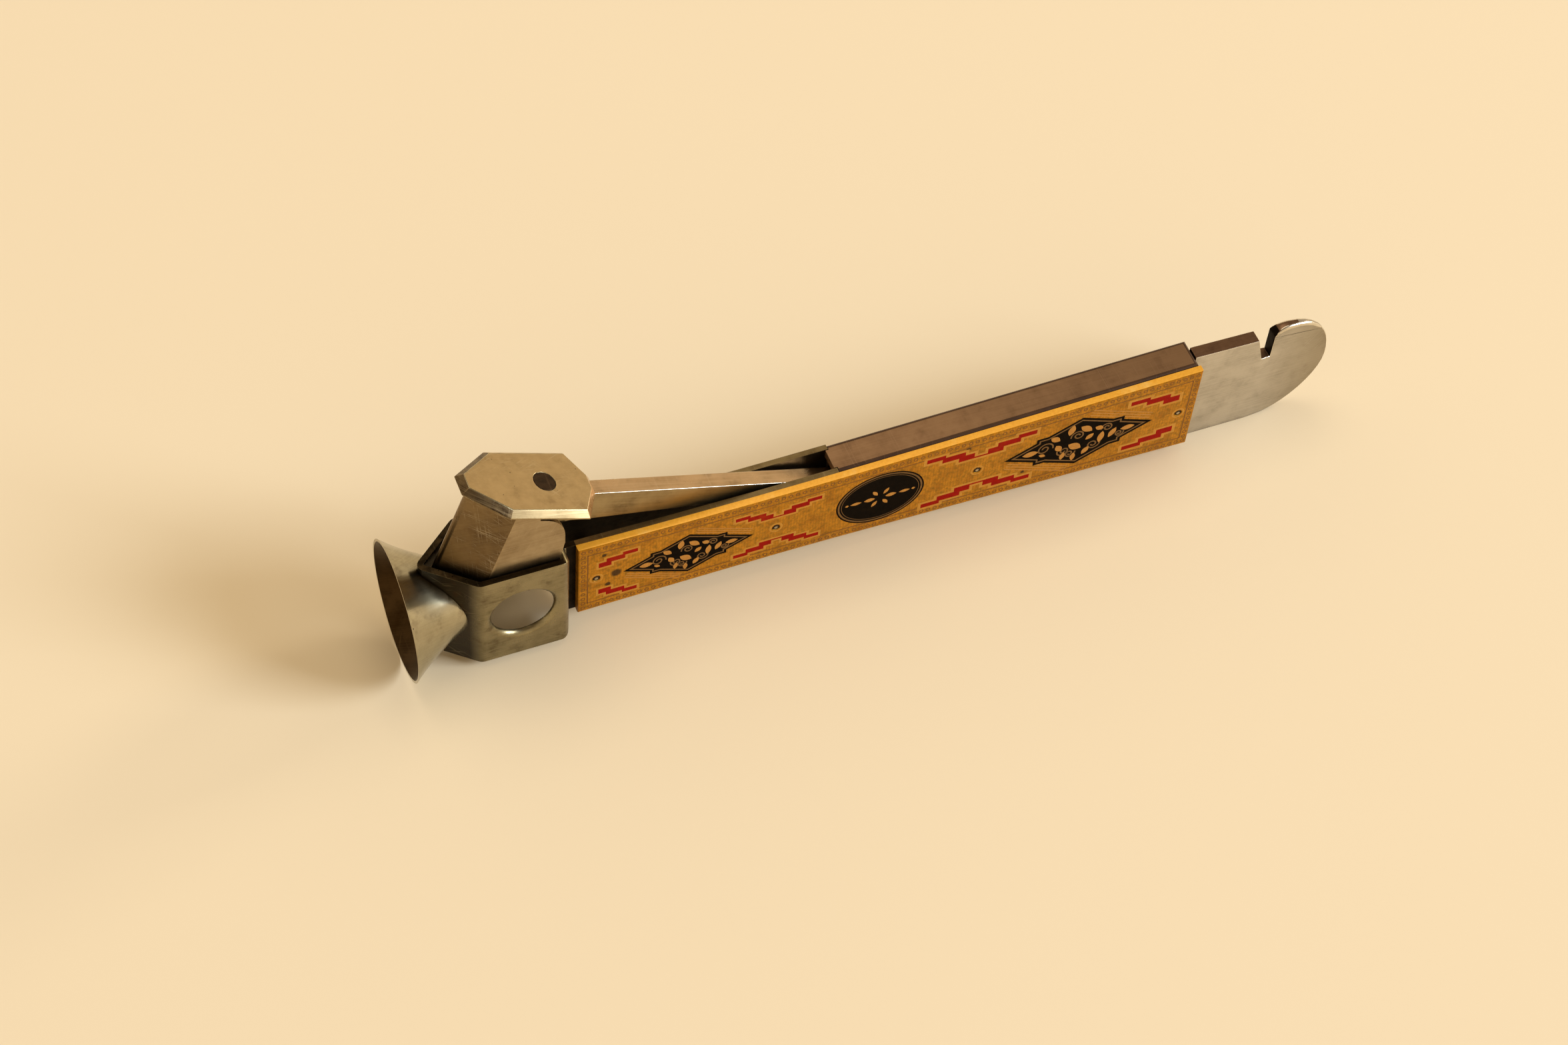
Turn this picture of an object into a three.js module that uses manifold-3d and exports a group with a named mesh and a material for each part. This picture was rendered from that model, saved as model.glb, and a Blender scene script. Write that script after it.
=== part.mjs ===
import * as THREE from 'three';
import { mergeVertices } from 'three/addons/utils/BufferGeometryUtils.js';
import Module from 'manifold-3d';

// Table cigar cutter with a box opener, sizes in millimetres.
// X runs from the cutting head to the opener, Y across the handle, Z up.
// Pieces are placed from the handle's head end, X = 0, with the cutting axis at Z = 0,
// and the whole is set down on its rim and opener at the end.

const wasm = await Module();
wasm.setup();

// Handle
const handleLength = 110;
const handleWidth = 8.5;
const headEndHeight = 17;
const waistHeight = 16.1;
const waistPlace = 30;
const tailEndHeight = 19.4;
const plateDepth = 1.25;
const plateSheet = 0.4;
const plateEdgeRound = 0.3;

// Head band, one strip folded to a point and stepped in to two arms
const stripThickness = 1;
const headWidth = 14.1;
const headHeight = 20.7;
const headSideLength = 15.1;
const headPointLength = 8.5;
const headGap = 2.1;
const headRearRound = 1.6;
const armLength = 45;
const noseBendRadius = 0.2;
const sideBendRadius = 0.8;
const rearBendRadius = 0.5;
const sideHoleDiameter = 10.5;
const sideHoleFromFold = 7.2;
const noseHoleDiameter = 8;

// Funnel
const funnelRimDiameter = 23.8;
const funnelReach = 3.9;
const funnelWall = 0.9;
const funnelFlare = 7.4;
const funnelSides = 48;

// Rear channel
const channelWeb = 1.5;
const seamGap = 0.1;
const tongueLength = 0.6;

// Lever and its pivot
const pivotBehindSeam = 5;
const pivotHeight = 1.9;
const pivotRadius = 1.25;
const openTilt = THREE.MathUtils.degToRad(19);
const closeAngle = THREE.MathUtils.degToRad(10.8);
const leverWidth = 2.8;
const leverTop = 0.55;
const leverFrontDepth = 6.2;
const leverTaperBehindRivet = 8.8;
const leverNose = 5.2;
const leverEyeRadius = 2.8;
const leverTailLength = 9;
const leverTailDepth = 2.4;

// Thumb plate and rivet
const rivetAheadOfStep = 2.84;
const plateTilt = THREE.MathUtils.degToRad(4.5);
const rivetHeadRadius = 1.85;
const rivetShankRadius = 0.8;
const rivetDepth = 4;
const thumbPlateThickness = 1.2;
const thumbPlateBevel = 1;
const thumbPlateWidth = 13.5;
const thumbPlateTipWidth = 3.7;
const thumbPlateFront = 14.6;
const thumbPlateFrontTaper = 6;
const thumbPlateRear = 8.9;
const thumbPlateRearTaper = 2.4;

// Folded V blade
const bladeSheet = 0.8;
const bladeWeb = 0.8;
const bladeGap = 0.3;
const bladeRearGap = 0.4;
const bladeRearRound = 4;
const bladeRearOverhang = 0.75;
const bladePassesHole = 0.2;
const edgeLand = 0.25;
const edgeGrind = 1.6;

// Leaf spring and stop
const springThickness = 0.45;
const springWidth = 2.2;
const springRivetBehindPivot = 12.5;
const springRivetDrop = 5.7;
const springRivetRadius = 0.8;
const springTouch = 13;
const springLow = 7.2;
const stopPinRadius = 1;

// Box opener
const openerLength = 27;
const openerTopHeight = 9.5;
const openerTopFall = 0.3;
const openerFlat = 15;
const openerTipRise = 10.4;
const openerTipThickness = 0.5;
const openerGrind = 14;
const notchPlace = 12;
const notchMouth = 3;
const notchFoot = 1.6;
const notchDepth = 5.3;
const tangLead = 2.8;
const tangHeight = 12;

// Pins and spacers
const pinRadius = 0.65;
const pinChamfer = 0.15;
const pinHeight = -0.3;
const pinFromEnd = 3.1;
const frontPinBeforeSeam = 11;
const tangPinBehindSeam = 24.8;
const bushRadius = 1.2;

// Clearances
const fitGap = 0.05;
const leverSideGap = 0.1;
const tangGap = 0.3;

// Facets
const bendSteps = 5;
const curveSteps = 10;
const pinSides = 16;
const holeSides = 40;
const overrun = 5;

// Worked out from the sizes above
const frameHalfWidth = handleWidth / 2 - plateDepth;
const armGap = 2 * (frameHalfWidth - stripThickness);
const channelSlot = leverWidth + 2 * leverSideGap;
const openerThickness = channelSlot - 2 * tangGap;
const headRearX = -headGap;
const headFoldX = headRearX - headSideLength;
const headApexX = headFoldX - headPointLength;
const pointHalfAngle = Math.atan(headWidth / 2 / headPointLength);
const headInnerApexX = headApexX + stripThickness / Math.sin(pointHalfAngle);
const noseX = headApexX + (noseBendRadius + stripThickness) * (1 / Math.sin(pointHalfAngle) - 1);
const rimX = noseX - funnelReach;
const pivotX = armLength + pivotBehindSeam;
const rivetAlong = pivotX - headRearX + rivetAheadOfStep + leverTop * Math.sin(openTilt);
const rivetReach = rivetAlong / Math.cos(openTilt);
const leverTaperStart = rivetReach - leverTaperBehindRivet;
const openerX = handleLength + fitGap;
const tipX = openerX + openerLength;
const standHeight = (funnelRimDiameter / 2) * Math.cos(Math.PI / funnelSides);
const plateTop = bladeWeb + thumbPlateThickness;
const bladeRearX = headRearX - stripThickness - bladeRearGap;
const pinPlaces = [
  pinFromEnd,
  armLength - frontPinBeforeSeam,
  armLength + tangPinBehindSeam,
  handleLength - pinFromEnd,
];

// Materials
const steel = (color, roughness) => new THREE.MeshStandardMaterial({ color, roughness, metalness: 1 });
const nickel = () => steel(0xa39a84, 0.38);
const spineSteel = () => steel(0x6b5848, 0.5);
const groundSteel = () => steel(0xb0a99a, 0.34);
const bladeSteel = () => steel(0x8d806c, 0.42);
const pinSteel = () => steel(0x7d7568, 0.45);
const springSteel = () => steel(0x4f4a45, 0.5);
const printedMetal = () =>
  new THREE.MeshStandardMaterial({ color: 0xb9852c, roughness: 0.42, metalness: 0.7 });

// Solids from geometries, and geometries from solids
function solid(geometry) {
  const bare = geometry.clone();
  bare.deleteAttribute('normal');
  bare.deleteAttribute('uv');
  const merged = mergeVertices(bare, 1e-5);
  const index = merged.index.array;
  const triangles = [];
  for (let i = 0; i < index.length; i += 3) {
    const [a, b, c] = [index[i], index[i + 1], index[i + 2]];
    if (a !== b && b !== c && c !== a) triangles.push(a, b, c);
  }
  const vertProperties = new Float32Array(merged.attributes.position.array);
  const triVerts = new Uint32Array(triangles);
  return new wasm.Manifold(new wasm.Mesh({ numProp: 3, vertProperties, triVerts }));
}

function piece(name, body, material) {
  const mesh = body.getMesh();
  const geometry = new THREE.BufferGeometry();
  geometry.setAttribute('position', new THREE.BufferAttribute(mesh.vertProperties, 3));
  geometry.setIndex(new THREE.BufferAttribute(mesh.triVerts, 1));
  geometry.computeVertexNormals();
  const result = new THREE.Mesh(geometry, material);
  result.name = name;
  return result;
}

// A shape drawn in X and Z, given its width along Y
function sideGeometry(shape, yLow, yHigh, bevel = 0) {
  const geometry = new THREE.ExtrudeGeometry(shape, {
    depth: yHigh - yLow - 2 * bevel,
    curveSegments: curveSteps,
    bevelEnabled: bevel > 0,
    bevelThickness: bevel,
    bevelSize: bevel,
    bevelSegments: 2,
  });
  return geometry.rotateX(Math.PI / 2).translate(0, yHigh - bevel, 0);
}

const sideSolid = (shape, yLow, yHigh) => solid(sideGeometry(shape, yLow, yHigh));

// A shape drawn in X and Y, given its height along Z
function planSolid(shape, zLow, zHigh) {
  const options = { depth: zHigh - zLow, curveSegments: curveSteps, bevelEnabled: false };
  return solid(new THREE.ExtrudeGeometry(shape, options).translate(0, 0, zLow));
}

function boxSolid(xLow, xHigh, yLow, yHigh, zLow, zHigh) {
  const box = new THREE.BoxGeometry(xHigh - xLow, yHigh - yLow, zHigh - zLow);
  return solid(box.translate((xLow + xHigh) / 2, (yLow + yHigh) / 2, (zLow + zHigh) / 2));
}

// A round bar across the handle
function crossBar(radius, length, x, z, sides) {
  return solid(new THREE.CylinderGeometry(radius, radius, length, sides).translate(x, 0, z));
}

// A round pin across the handle with eased ends
function crossPin(radius, length, x, z) {
  const half = length / 2;
  const profile = [
    new THREE.Vector2(0, -half),
    new THREE.Vector2(radius - pinChamfer, -half),
    new THREE.Vector2(radius, -half + pinChamfer),
    new THREE.Vector2(radius, half - pinChamfer),
    new THREE.Vector2(radius - pinChamfer, half),
    new THREE.Vector2(0, half),
  ];
  return solid(new THREE.LatheGeometry(profile, pinSides).translate(x, 0, z));
}

// One face of a bent strip. The corners follow the strip's right-hand face and the strip
// lies to their left. offset 0 gives that face and offset thickness gives the other.
function bentLine(corners, innerRadii, thickness, offset) {
  const points = [];
  corners.forEach((corner, i) => {
    const before = corner.clone().sub(corners[Math.max(i - 1, 0)]).normalize();
    const after = corners[Math.min(i + 1, corners.length - 1)].clone().sub(corner).normalize();
    if (i === 0 || i === corners.length - 1) {
      const along = i === 0 ? after : before;
      points.push(new THREE.Vector2(corner.x - along.y * offset, corner.y + along.x * offset));
      return;
    }
    const turn = Math.atan2(before.cross(after), before.dot(after));
    const side = Math.sign(turn);
    const cornerRadius = side > 0 ? innerRadii[i] + thickness : innerRadii[i];
    const setback = cornerRadius * Math.tan(Math.abs(turn) / 2);
    const start = corner.clone().addScaledVector(before, -setback);
    const toCentre = new THREE.Vector2(-before.y, before.x).multiplyScalar(side);
    const centre = start.clone().addScaledVector(toCentre, cornerRadius);
    const radius = cornerRadius - side * offset;
    for (let step = 0; step <= bendSteps; step += 1) {
      const spoke = toCentre.clone().negate();
      spoke.rotateAround(new THREE.Vector2(), (turn * step) / bendSteps);
      points.push(centre.clone().addScaledVector(spoke, radius));
    }
  });
  return points;
}

function bentStrip(corners, innerRadii, thickness) {
  const face = bentLine(corners, innerRadii, thickness, 0);
  const otherFace = bentLine(corners, innerRadii, thickness, thickness);
  return new THREE.Shape([...face, ...otherFace.reverse()]);
}

// Waisted outline of the handle, drawn in by inset and run past its ends by lead and trail
function handleOutline(inset = 0, lead = 0, trail = 0) {
  const head = headEndHeight / 2 - inset;
  const waist = waistHeight / 2 - inset;
  const tail = tailEndHeight / 2 - inset;
  const start = inset - lead;
  const end = handleLength - inset + trail;
  const spread = waistPlace + (handleLength - waistPlace) / 4;
  const shape = new THREE.Shape();
  shape.moveTo(start, -head);
  shape.lineTo(inset, -head);
  shape.quadraticCurveTo(waistPlace / 2, -waist, waistPlace, -waist);
  shape.quadraticCurveTo(spread, -waist, handleLength - inset, -tail);
  shape.lineTo(end, -tail);
  shape.lineTo(end, tail);
  shape.lineTo(handleLength - inset, tail);
  shape.quadraticCurveTo(spread, waist, waistPlace, waist);
  shape.quadraticCurveTo(waistPlace / 2, waist, inset, head);
  shape.lineTo(start, head);
  return shape;
}

// Holes for the four handle pins
function drillPins(body) {
  return pinPlaces.reduce(
    (rest, x) => rest.subtract(crossBar(pinRadius + fitGap, handleWidth + overrun, x, pinHeight, pinSides)),
    body,
  );
}

// Head band
function makeHeadBand() {
  const side = headWidth / 2;
  const corners = [
    new THREE.Vector2(armLength, frameHalfWidth),
    new THREE.Vector2(headRearX, frameHalfWidth),
    new THREE.Vector2(headRearX, side),
    new THREE.Vector2(headFoldX, side),
    new THREE.Vector2(headApexX, 0),
    new THREE.Vector2(headFoldX, -side),
    new THREE.Vector2(headRearX, -side),
    new THREE.Vector2(headRearX, -frameHalfWidth),
    new THREE.Vector2(armLength, -frameHalfWidth),
  ];
  const [rear, fold, nose] = [rearBendRadius, sideBendRadius, noseBendRadius];
  const strip = bentStrip(corners, [0, rear, rear, fold, nose, fold, rear, rear, 0], stripThickness);
  const half = headHeight / 2;
  const round = headRearRound;
  const profile = new THREE.Shape();
  profile.moveTo(headApexX - overrun, -half);
  profile.lineTo(headRearX - round, -half);
  profile.quadraticCurveTo(headRearX, -half, headRearX, -half + round);
  profile.lineTo(headRearX, half - round);
  profile.quadraticCurveTo(headRearX, half, headRearX - round, half);
  profile.lineTo(headApexX - overrun, half);
  const headSide = sideSolid(profile, -headWidth, headWidth);
  const armSide = sideSolid(handleOutline(0, headGap + stripThickness + overrun), -headWidth, headWidth);
  const sideHole = crossBar(
    sideHoleDiameter / 2,
    headWidth + overrun,
    headFoldX + sideHoleFromFold,
    0,
    holeSides,
  );
  const noseBar = new THREE.CylinderGeometry(
    noseHoleDiameter / 2,
    noseHoleDiameter / 2,
    2 * headPointLength,
    holeSides,
  );
  const noseHole = solid(noseBar.rotateZ(Math.PI / 2).translate(headApexX + headPointLength / 2, 0, 0));
  const band = planSolid(strip, -headHeight, headHeight).intersect(headSide.add(armSide));
  return drillPins(band.subtract(sideHole).subtract(noseHole));
}

// Funnel, turned about the cutting axis and cut to sit on the point of the head
function makeFunnel() {
  const rim = funnelRimDiameter / 2;
  const neck = noseHoleDiameter / 2;
  const neckX = headFoldX;
  const bow = funnelFlare;
  const outer = new THREE.QuadraticBezierCurve(
    new THREE.Vector2(rim, rimX),
    new THREE.Vector2(bow + funnelWall, noseX),
    new THREE.Vector2(neck + funnelWall, neckX),
  );
  const inner = new THREE.QuadraticBezierCurve(
    new THREE.Vector2(neck, neckX),
    new THREE.Vector2(bow, noseX),
    new THREE.Vector2(rim - funnelWall / 2, rimX),
  );
  const profile = [...outer.getPoints(curveSteps), ...inner.getPoints(curveSteps)];
  profile.push(profile[0].clone());
  const turned = new THREE.LatheGeometry(profile, funnelSides, Math.PI / funnelSides);
  const body = solid(turned.rotateZ(-Math.PI / 2));
  const side = headWidth / 2;
  const nose = [
    new THREE.Vector2(headFoldX, side),
    new THREE.Vector2(headApexX, 0),
    new THREE.Vector2(headFoldX, -side),
  ];
  const seat = bentLine(nose, [0, noseBendRadius, 0], stripThickness, -fitGap);
  const point = new THREE.Shape([...seat, new THREE.Vector2(0, -side), new THREE.Vector2(0, side)]);
  return body.subtract(planSolid(point, -funnelRimDiameter, funnelRimDiameter));
}

// Rear channel, open below, with a tongue between the arms
function makeRearChannel() {
  const start = armLength + seamGap;
  const tall = tailEndHeight;
  const whole = sideSolid(handleOutline(), -frameHalfWidth, frameHalfWidth);
  const rearHalf = boxSolid(start, handleLength + overrun, -tall, tall, -tall, tall);
  const tongueSide = armGap / 2 - seamGap;
  const tongue = boxSolid(start - tongueLength, start + overrun, -tongueSide, tongueSide, 0, tall);
  const slotShape = handleOutline(0, overrun, overrun);
  const slot = sideSolid(slotShape, -channelSlot / 2, channelSlot / 2).translate(0, 0, -channelWeb);
  const throat = boxSolid(start - overrun, start, -tall, tall, -tall, waistHeight / 2 - channelWeb);
  const body = whole.intersect(rearHalf.add(tongue)).subtract(slot).subtract(throat);
  const axle = crossBar(pivotRadius + fitGap, handleWidth, pivotX, pivotHeight, pinSides);
  const [stopX, stopZ] = stopPlace();
  const stop = crossBar(stopPinRadius + fitGap, handleWidth, stopX, stopZ, pinSides);
  const [rivetX, rivetZ] = springRivetPlace();
  const rivet = crossBar(springRivetRadius + fitGap, handleWidth, rivetX, rivetZ, pinSides);
  return drillPins(body.subtract(axle).subtract(stop).subtract(rivet));
}

// Printed plate with turned-in edges on the near side
function makePlate() {
  const outside = handleWidth / 2;
  const round = plateEdgeRound;
  const pressed = solid(sideGeometry(handleOutline(round), -outside, outside, round));
  const hollow = outside - plateSheet;
  const tray = pressed.subtract(sideSolid(handleOutline(plateSheet), -hollow, hollow));
  const tall = tailEndHeight;
  const rest = boxSolid(-overrun, handleLength + overrun, -frameHalfWidth, handleWidth, -tall, tall);
  return drillPins(tray.subtract(rest));
}

// Steel liner that the plate is turned over, joining the arms and the channel
function makeLiner() {
  const outside = handleWidth / 2 - plateSheet - fitGap;
  return drillPins(sideSolid(handleOutline(plateSheet + fitGap), -outside, -frameHalfWidth));
}

// The pieces of the lever are drawn in its own frame, with the pivot as origin and the
// lever's top edge along X. turned gives a point of that frame when the lever is tilted.
function turned(x, z, tilt) {
  return [x * Math.cos(tilt) + z * Math.sin(tilt), -x * Math.sin(tilt) + z * Math.cos(tilt)];
}

function stopPlace() {
  const reach = leverTailLength - stopPinRadius;
  const [x, z] = turned(reach, -leverTailDepth / 2 - stopPinRadius - fitGap, openTilt);
  return [pivotX + x, pivotHeight + z];
}

function springRivetPlace() {
  return [pivotX + springRivetBehindPivot, pivotHeight - springRivetDrop];
}

function leverUnder(reach) {
  const front = leverTop - leverFrontDepth;
  const eye = -leverTailDepth / 2;
  return eye + ((front - eye) * reach) / leverTaperStart;
}

// The thumb plate's seat is tilted against the lever at the rivet. Its pieces are drawn
// from the rivet on the lever's top, and onLever gives such a solid in the lever's frame.
function onLever(body) {
  return body.rotate([0, THREE.MathUtils.radToDeg(plateTilt), 0]).translate(-rivetReach, 0, leverTop);
}

const seatHeight = (x) => leverTop - (x + rivetReach) * Math.tan(plateTilt);

function rivetBody(gap) {
  const profile = [
    new THREE.Vector2(0, -rivetDepth - gap),
    new THREE.Vector2(rivetShankRadius + gap, -rivetDepth - gap),
    new THREE.Vector2(rivetShankRadius + gap, bladeWeb - gap),
    new THREE.Vector2(rivetHeadRadius + gap, plateTop - thumbPlateBevel / 2),
    new THREE.Vector2(rivetHeadRadius + gap, plateTop + gap),
    new THREE.Vector2(0, plateTop + gap),
  ];
  return solid(new THREE.LatheGeometry(profile, pinSides).rotateX(Math.PI / 2));
}

function makeLever() {
  const half = leverWidth / 2;
  const nose = -rivetReach - leverNose;
  const seatEnd = -rearCutRadius() + 2 * bladeRearGap;
  const bar = new THREE.Shape();
  bar.moveTo(seatEnd, leverTop);
  bar.lineTo(seatEnd, seatHeight(seatEnd) - fitGap);
  bar.lineTo(nose, seatHeight(nose) - fitGap);
  bar.lineTo(nose, leverTop - leverFrontDepth / 2);
  bar.lineTo(nose + leverNose / 2, leverTop - leverFrontDepth);
  bar.lineTo(-leverTaperStart, leverUnder(leverTaperStart));
  bar.lineTo(0, leverUnder(0));
  bar.lineTo(0, leverTop);
  const tail = new THREE.Shape();
  const tailHalf = leverTailDepth / 2;
  tail.moveTo(0, -tailHalf);
  tail.lineTo(leverTailLength - tailHalf, -tailHalf);
  tail.absarc(leverTailLength - tailHalf, 0, tailHalf, -Math.PI / 2, Math.PI / 2);
  tail.lineTo(0, tailHalf);
  const eye = crossBar(leverEyeRadius, leverWidth, 0, 0, holeSides);
  const bore = crossBar(pivotRadius + fitGap, handleWidth, 0, 0, pinSides);
  const body = sideSolid(bar, -half, half).add(sideSolid(tail, -half, half)).add(eye);
  return body.subtract(bore).subtract(onLever(rivetBody(fitGap)));
}

function makeThumbPlate() {
  const bevel = thumbPlateBevel;
  const half = thumbPlateWidth / 2 - bevel;
  const tip = thumbPlateTipWidth / 2 - bevel / 2;
  const front = bevel - thumbPlateFront;
  const rear = thumbPlateRear - bevel;
  const top = new THREE.Shape();
  top.moveTo(front, tip);
  top.lineTo(front, -tip);
  top.lineTo(front + thumbPlateFrontTaper, -half);
  top.lineTo(rear - thumbPlateRearTaper, -half);
  top.lineTo(rear, -tip);
  top.lineTo(rear, tip);
  top.lineTo(rear - thumbPlateRearTaper, half);
  top.lineTo(front + thumbPlateFrontTaper, half);
  const pressed = new THREE.ExtrudeGeometry(top, {
    depth: thumbPlateThickness,
    bevelEnabled: true,
    bevelThickness: bevel,
    bevelSize: bevel,
    bevelSegments: 1,
  });
  const body = solid(pressed.translate(0, 0, plateTop - bevel - thumbPlateThickness));
  const reach = 2 * thumbPlateFront;
  const wide = thumbPlateWidth;
  return body.subtract(boxSolid(-reach, reach, -wide, wide, -wide, bladeWeb)).subtract(rivetBody(fitGap));
}

// Radius about the pivot that clears the step of the head
function rearCutRadius() {
  return Math.hypot(pivotX - bladeRearX, headHeight / 2 - pivotHeight);
}

// Folded V blade. Its edge is ground level for the closed lever, and its rear end is cut
// round the pivot so that it clears the step of the head all the way.
function makeBlade() {
  const side = headWidth / 2 - stripThickness - bladeGap;
  const closedTilt = openTilt - closeAngle;
  const edgeZ = -sideHoleDiameter / 2 - bladePassesHole - pivotHeight;
  const apexReach = pivotX - headInnerApexX - bladeGap / Math.sin(pointHalfAngle);
  const edgeApexX = -Math.sqrt(apexReach ** 2 - edgeZ ** 2);
  const [apex] = turned(edgeApexX, edgeZ, -closedTilt);
  const fold = apex + side / Math.tan(pointHalfAngle);
  const corners = [
    new THREE.Vector2(0, side),
    new THREE.Vector2(fold, side),
    new THREE.Vector2(apex, 0),
    new THREE.Vector2(fold, -side),
    new THREE.Vector2(0, -side),
  ];
  const radii = [0, sideBendRadius, noseBendRadius, sideBendRadius, 0];
  const tall = 2 * headHeight;
  const walls = planSolid(bentStrip(corners, radii, bladeSheet), -tall, tall);
  const outline = new THREE.Shape(bentLine(corners, radii, bladeSheet, 0));
  const webTop = boxSolid(-tall, tall, -headWidth, headWidth, 0, bladeWeb);
  const web = planSolid(outline, -tall, tall).intersect(onLever(webTop));
  const above = onLever(boxSolid(-tall, 2 * rivetReach, -headWidth, headWidth, bladeWeb / 2, 2 * tall));
  const rearCut = crossBar(rearCutRadius(), headWidth, 0, 0, 4 * holeSides);
  const degrees = THREE.MathUtils.radToDeg;
  const topAt = (x) => -x * Math.tan(openTilt);
  const rearX = bladeRearX + bladeRearOverhang - pivotX;
  const rounding = new THREE.Shape();
  rounding.moveTo(rearX - bladeRearRound, tall);
  rounding.lineTo(rearX - bladeRearRound, topAt(rearX - bladeRearRound));
  rounding.quadraticCurveTo(rearX, topAt(rearX), rearX, topAt(rearX) - bladeRearRound);
  rounding.lineTo(rearX, -tall);
  rounding.lineTo(0, -tall);
  rounding.lineTo(0, tall);
  const rearEdge = sideSolid(rounding, -headWidth, headWidth).rotate([0, degrees(-openTilt), 0]);
  const toLever = [0, degrees(-closedTilt), 0];
  const below = boxSolid(-2 * apexReach, 0, -headWidth, headWidth, edgeZ - 3 * headHeight, edgeZ);
  const inset = bladeSheet / Math.sin(pointHalfAngle);
  const inside = new THREE.Shape();
  inside.moveTo(0, side - bladeSheet);
  inside.lineTo(edgeApexX + inset + (side - bladeSheet) / Math.tan(pointHalfAngle), side - bladeSheet);
  inside.lineTo(edgeApexX + inset, 0);
  inside.lineTo(edgeApexX + inset + (side - bladeSheet) / Math.tan(pointHalfAngle), bladeSheet - side);
  inside.lineTo(0, bladeSheet - side);
  const grinder = new THREE.ExtrudeGeometry(inside, {
    depth: overrun,
    bevelEnabled: true,
    bevelThickness: edgeGrind,
    bevelSize: bladeSheet - edgeLand,
    bevelSegments: 1,
  });
  const grind = solid(grinder.translate(0, 0, edgeZ - overrun));
  const ground = walls
    .subtract(above)
    .subtract(rearEdge)
    .subtract(below.rotate(toLever))
    .subtract(grind.rotate(toLever));
  return ground.add(web).subtract(rearCut).subtract(onLever(rivetBody(fitGap)));
}

// Leaf spring, curled round its rivet, run under the pivot and up to the lever
function makeSpring() {
  const [rivetX, rivetZ] = springRivetPlace();
  const curl = springRivetRadius + fitGap + springThickness / 2;
  const [touchX, touchZ] = turned(-springTouch, leverUnder(springTouch), openTilt);
  const end = new THREE.Vector2(pivotX + touchX, pivotHeight + touchZ - springThickness / 2 - 2 * fitGap);
  const slope = Math.tan(openTilt);
  const bottom = pivotHeight - springLow;
  const path = new THREE.Path();
  path.absarc(rivetX, rivetZ, curl, Math.PI * 0.9, -Math.PI * 0.6, true);
  path.bezierCurveTo(
    rivetX - springRivetBehindPivot / 2,
    rivetZ - curl - springThickness,
    pivotX + leverEyeRadius,
    bottom,
    pivotX - leverEyeRadius,
    (bottom + pivotHeight) / 2,
  );
  path.quadraticCurveTo(end.x + leverEyeRadius, end.y - slope * leverEyeRadius, end.x, end.y);
  const line = path.getPoints(curveSteps);
  const half = springThickness / 2;
  const edge = (sign) =>
    line.map((point, i) => {
      const last = line[Math.max(i - 1, 0)];
      const next = line[Math.min(i + 1, line.length - 1)];
      const along = next.clone().sub(last).normalize();
      return new THREE.Vector2(point.x - sign * along.y * half, point.y + sign * along.x * half);
    });
  return sideSolid(new THREE.Shape([...edge(1), ...edge(-1).reverse()]), -springWidth / 2, springWidth / 2);
}

// Box opener with its tang in the channel
function makeOpener() {
  const tangX = pinPlaces[2] - tangLead;
  const tang = tangHeight / 2;
  const low = -standHeight;
  const notchX = openerX + notchPlace;
  const notchTop = openerTopHeight - openerTopFall;
  const notchEnd = notchX + notchMouth;
  const flatEnd = openerX + openerFlat;
  const bowLow = (tipX - flatEnd) / 2;
  const tipZ = (openerTipRise + low) / 2;
  const outline = new THREE.Shape();
  outline.moveTo(tangX, -tang);
  outline.lineTo(openerX, -tang);
  outline.lineTo(openerX, low);
  outline.lineTo(flatEnd, low);
  outline.bezierCurveTo(flatEnd + bowLow, low, tipX, low / 2, tipX, tipZ);
  const rise = openerTipRise;
  outline.bezierCurveTo(tipX, rise / 2, tipX - bowLow / 2, rise, flatEnd + bowLow / 2, rise);
  outline.quadraticCurveTo(notchEnd + notchFoot / 2, rise, notchEnd, notchTop - openerTopFall);
  outline.lineTo(notchEnd, notchTop - notchDepth);
  outline.lineTo(notchEnd - notchFoot, notchTop - notchDepth);
  outline.lineTo(notchX, notchTop);
  outline.lineTo(openerX, openerTopHeight);
  outline.lineTo(openerX, tang);
  outline.lineTo(tangX, tang);
  const half = openerThickness / 2;
  const thin = openerTipThickness / 2;
  const plan = new THREE.Shape();
  plan.moveTo(tangX - overrun, -half);
  plan.lineTo(tipX - openerGrind, -half);
  plan.lineTo(tipX + fitGap, -thin);
  plan.lineTo(tipX + fitGap, thin);
  plan.lineTo(tipX - openerGrind, half);
  plan.lineTo(tangX - overrun, half);
  const tall = standHeight + openerTipRise;
  return drillPins(sideSolid(outline, -handleWidth, handleWidth).intersect(planSolid(plan, -tall, tall)));
}

// Fixed pieces
const cutter = new THREE.Group();
cutter.position.set(-(rimX + tipX) / 2, 0, standHeight);
cutter.add(
  piece('head_band', makeHeadBand(), nickel()),
  piece('funnel', makeFunnel(), nickel()),
  piece('rear_channel', makeRearChannel(), spineSteel()),
  piece('printed_plate', makePlate(), printedMetal()),
  piece('liner', makeLiner(), spineSteel()),
  piece('box_opener', makeOpener(), groundSteel()),
  piece('leaf_spring', makeSpring(), springSteel()),
);

pinPlaces.forEach((x, i) => {
  const pin = crossPin(pinRadius, handleWidth / 2 + frameHalfWidth, x, pinHeight);
  const across = (frameHalfWidth - handleWidth / 2) / 2;
  cutter.add(piece(`handle_pin_${i + 1}`, pin.translate(0, across, 0), pinSteel()));
});

pinPlaces.slice(0, 2).forEach((x, i) => {
  const length = armGap - 2 * fitGap;
  const tube = crossBar(bushRadius, length, x, pinHeight, pinSides);
  const bore = crossBar(pinRadius + fitGap, length + overrun, x, pinHeight, pinSides);
  cutter.add(piece(`spacer_bush_${i + 1}`, tube.subtract(bore), pinSteel()));
});

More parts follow.
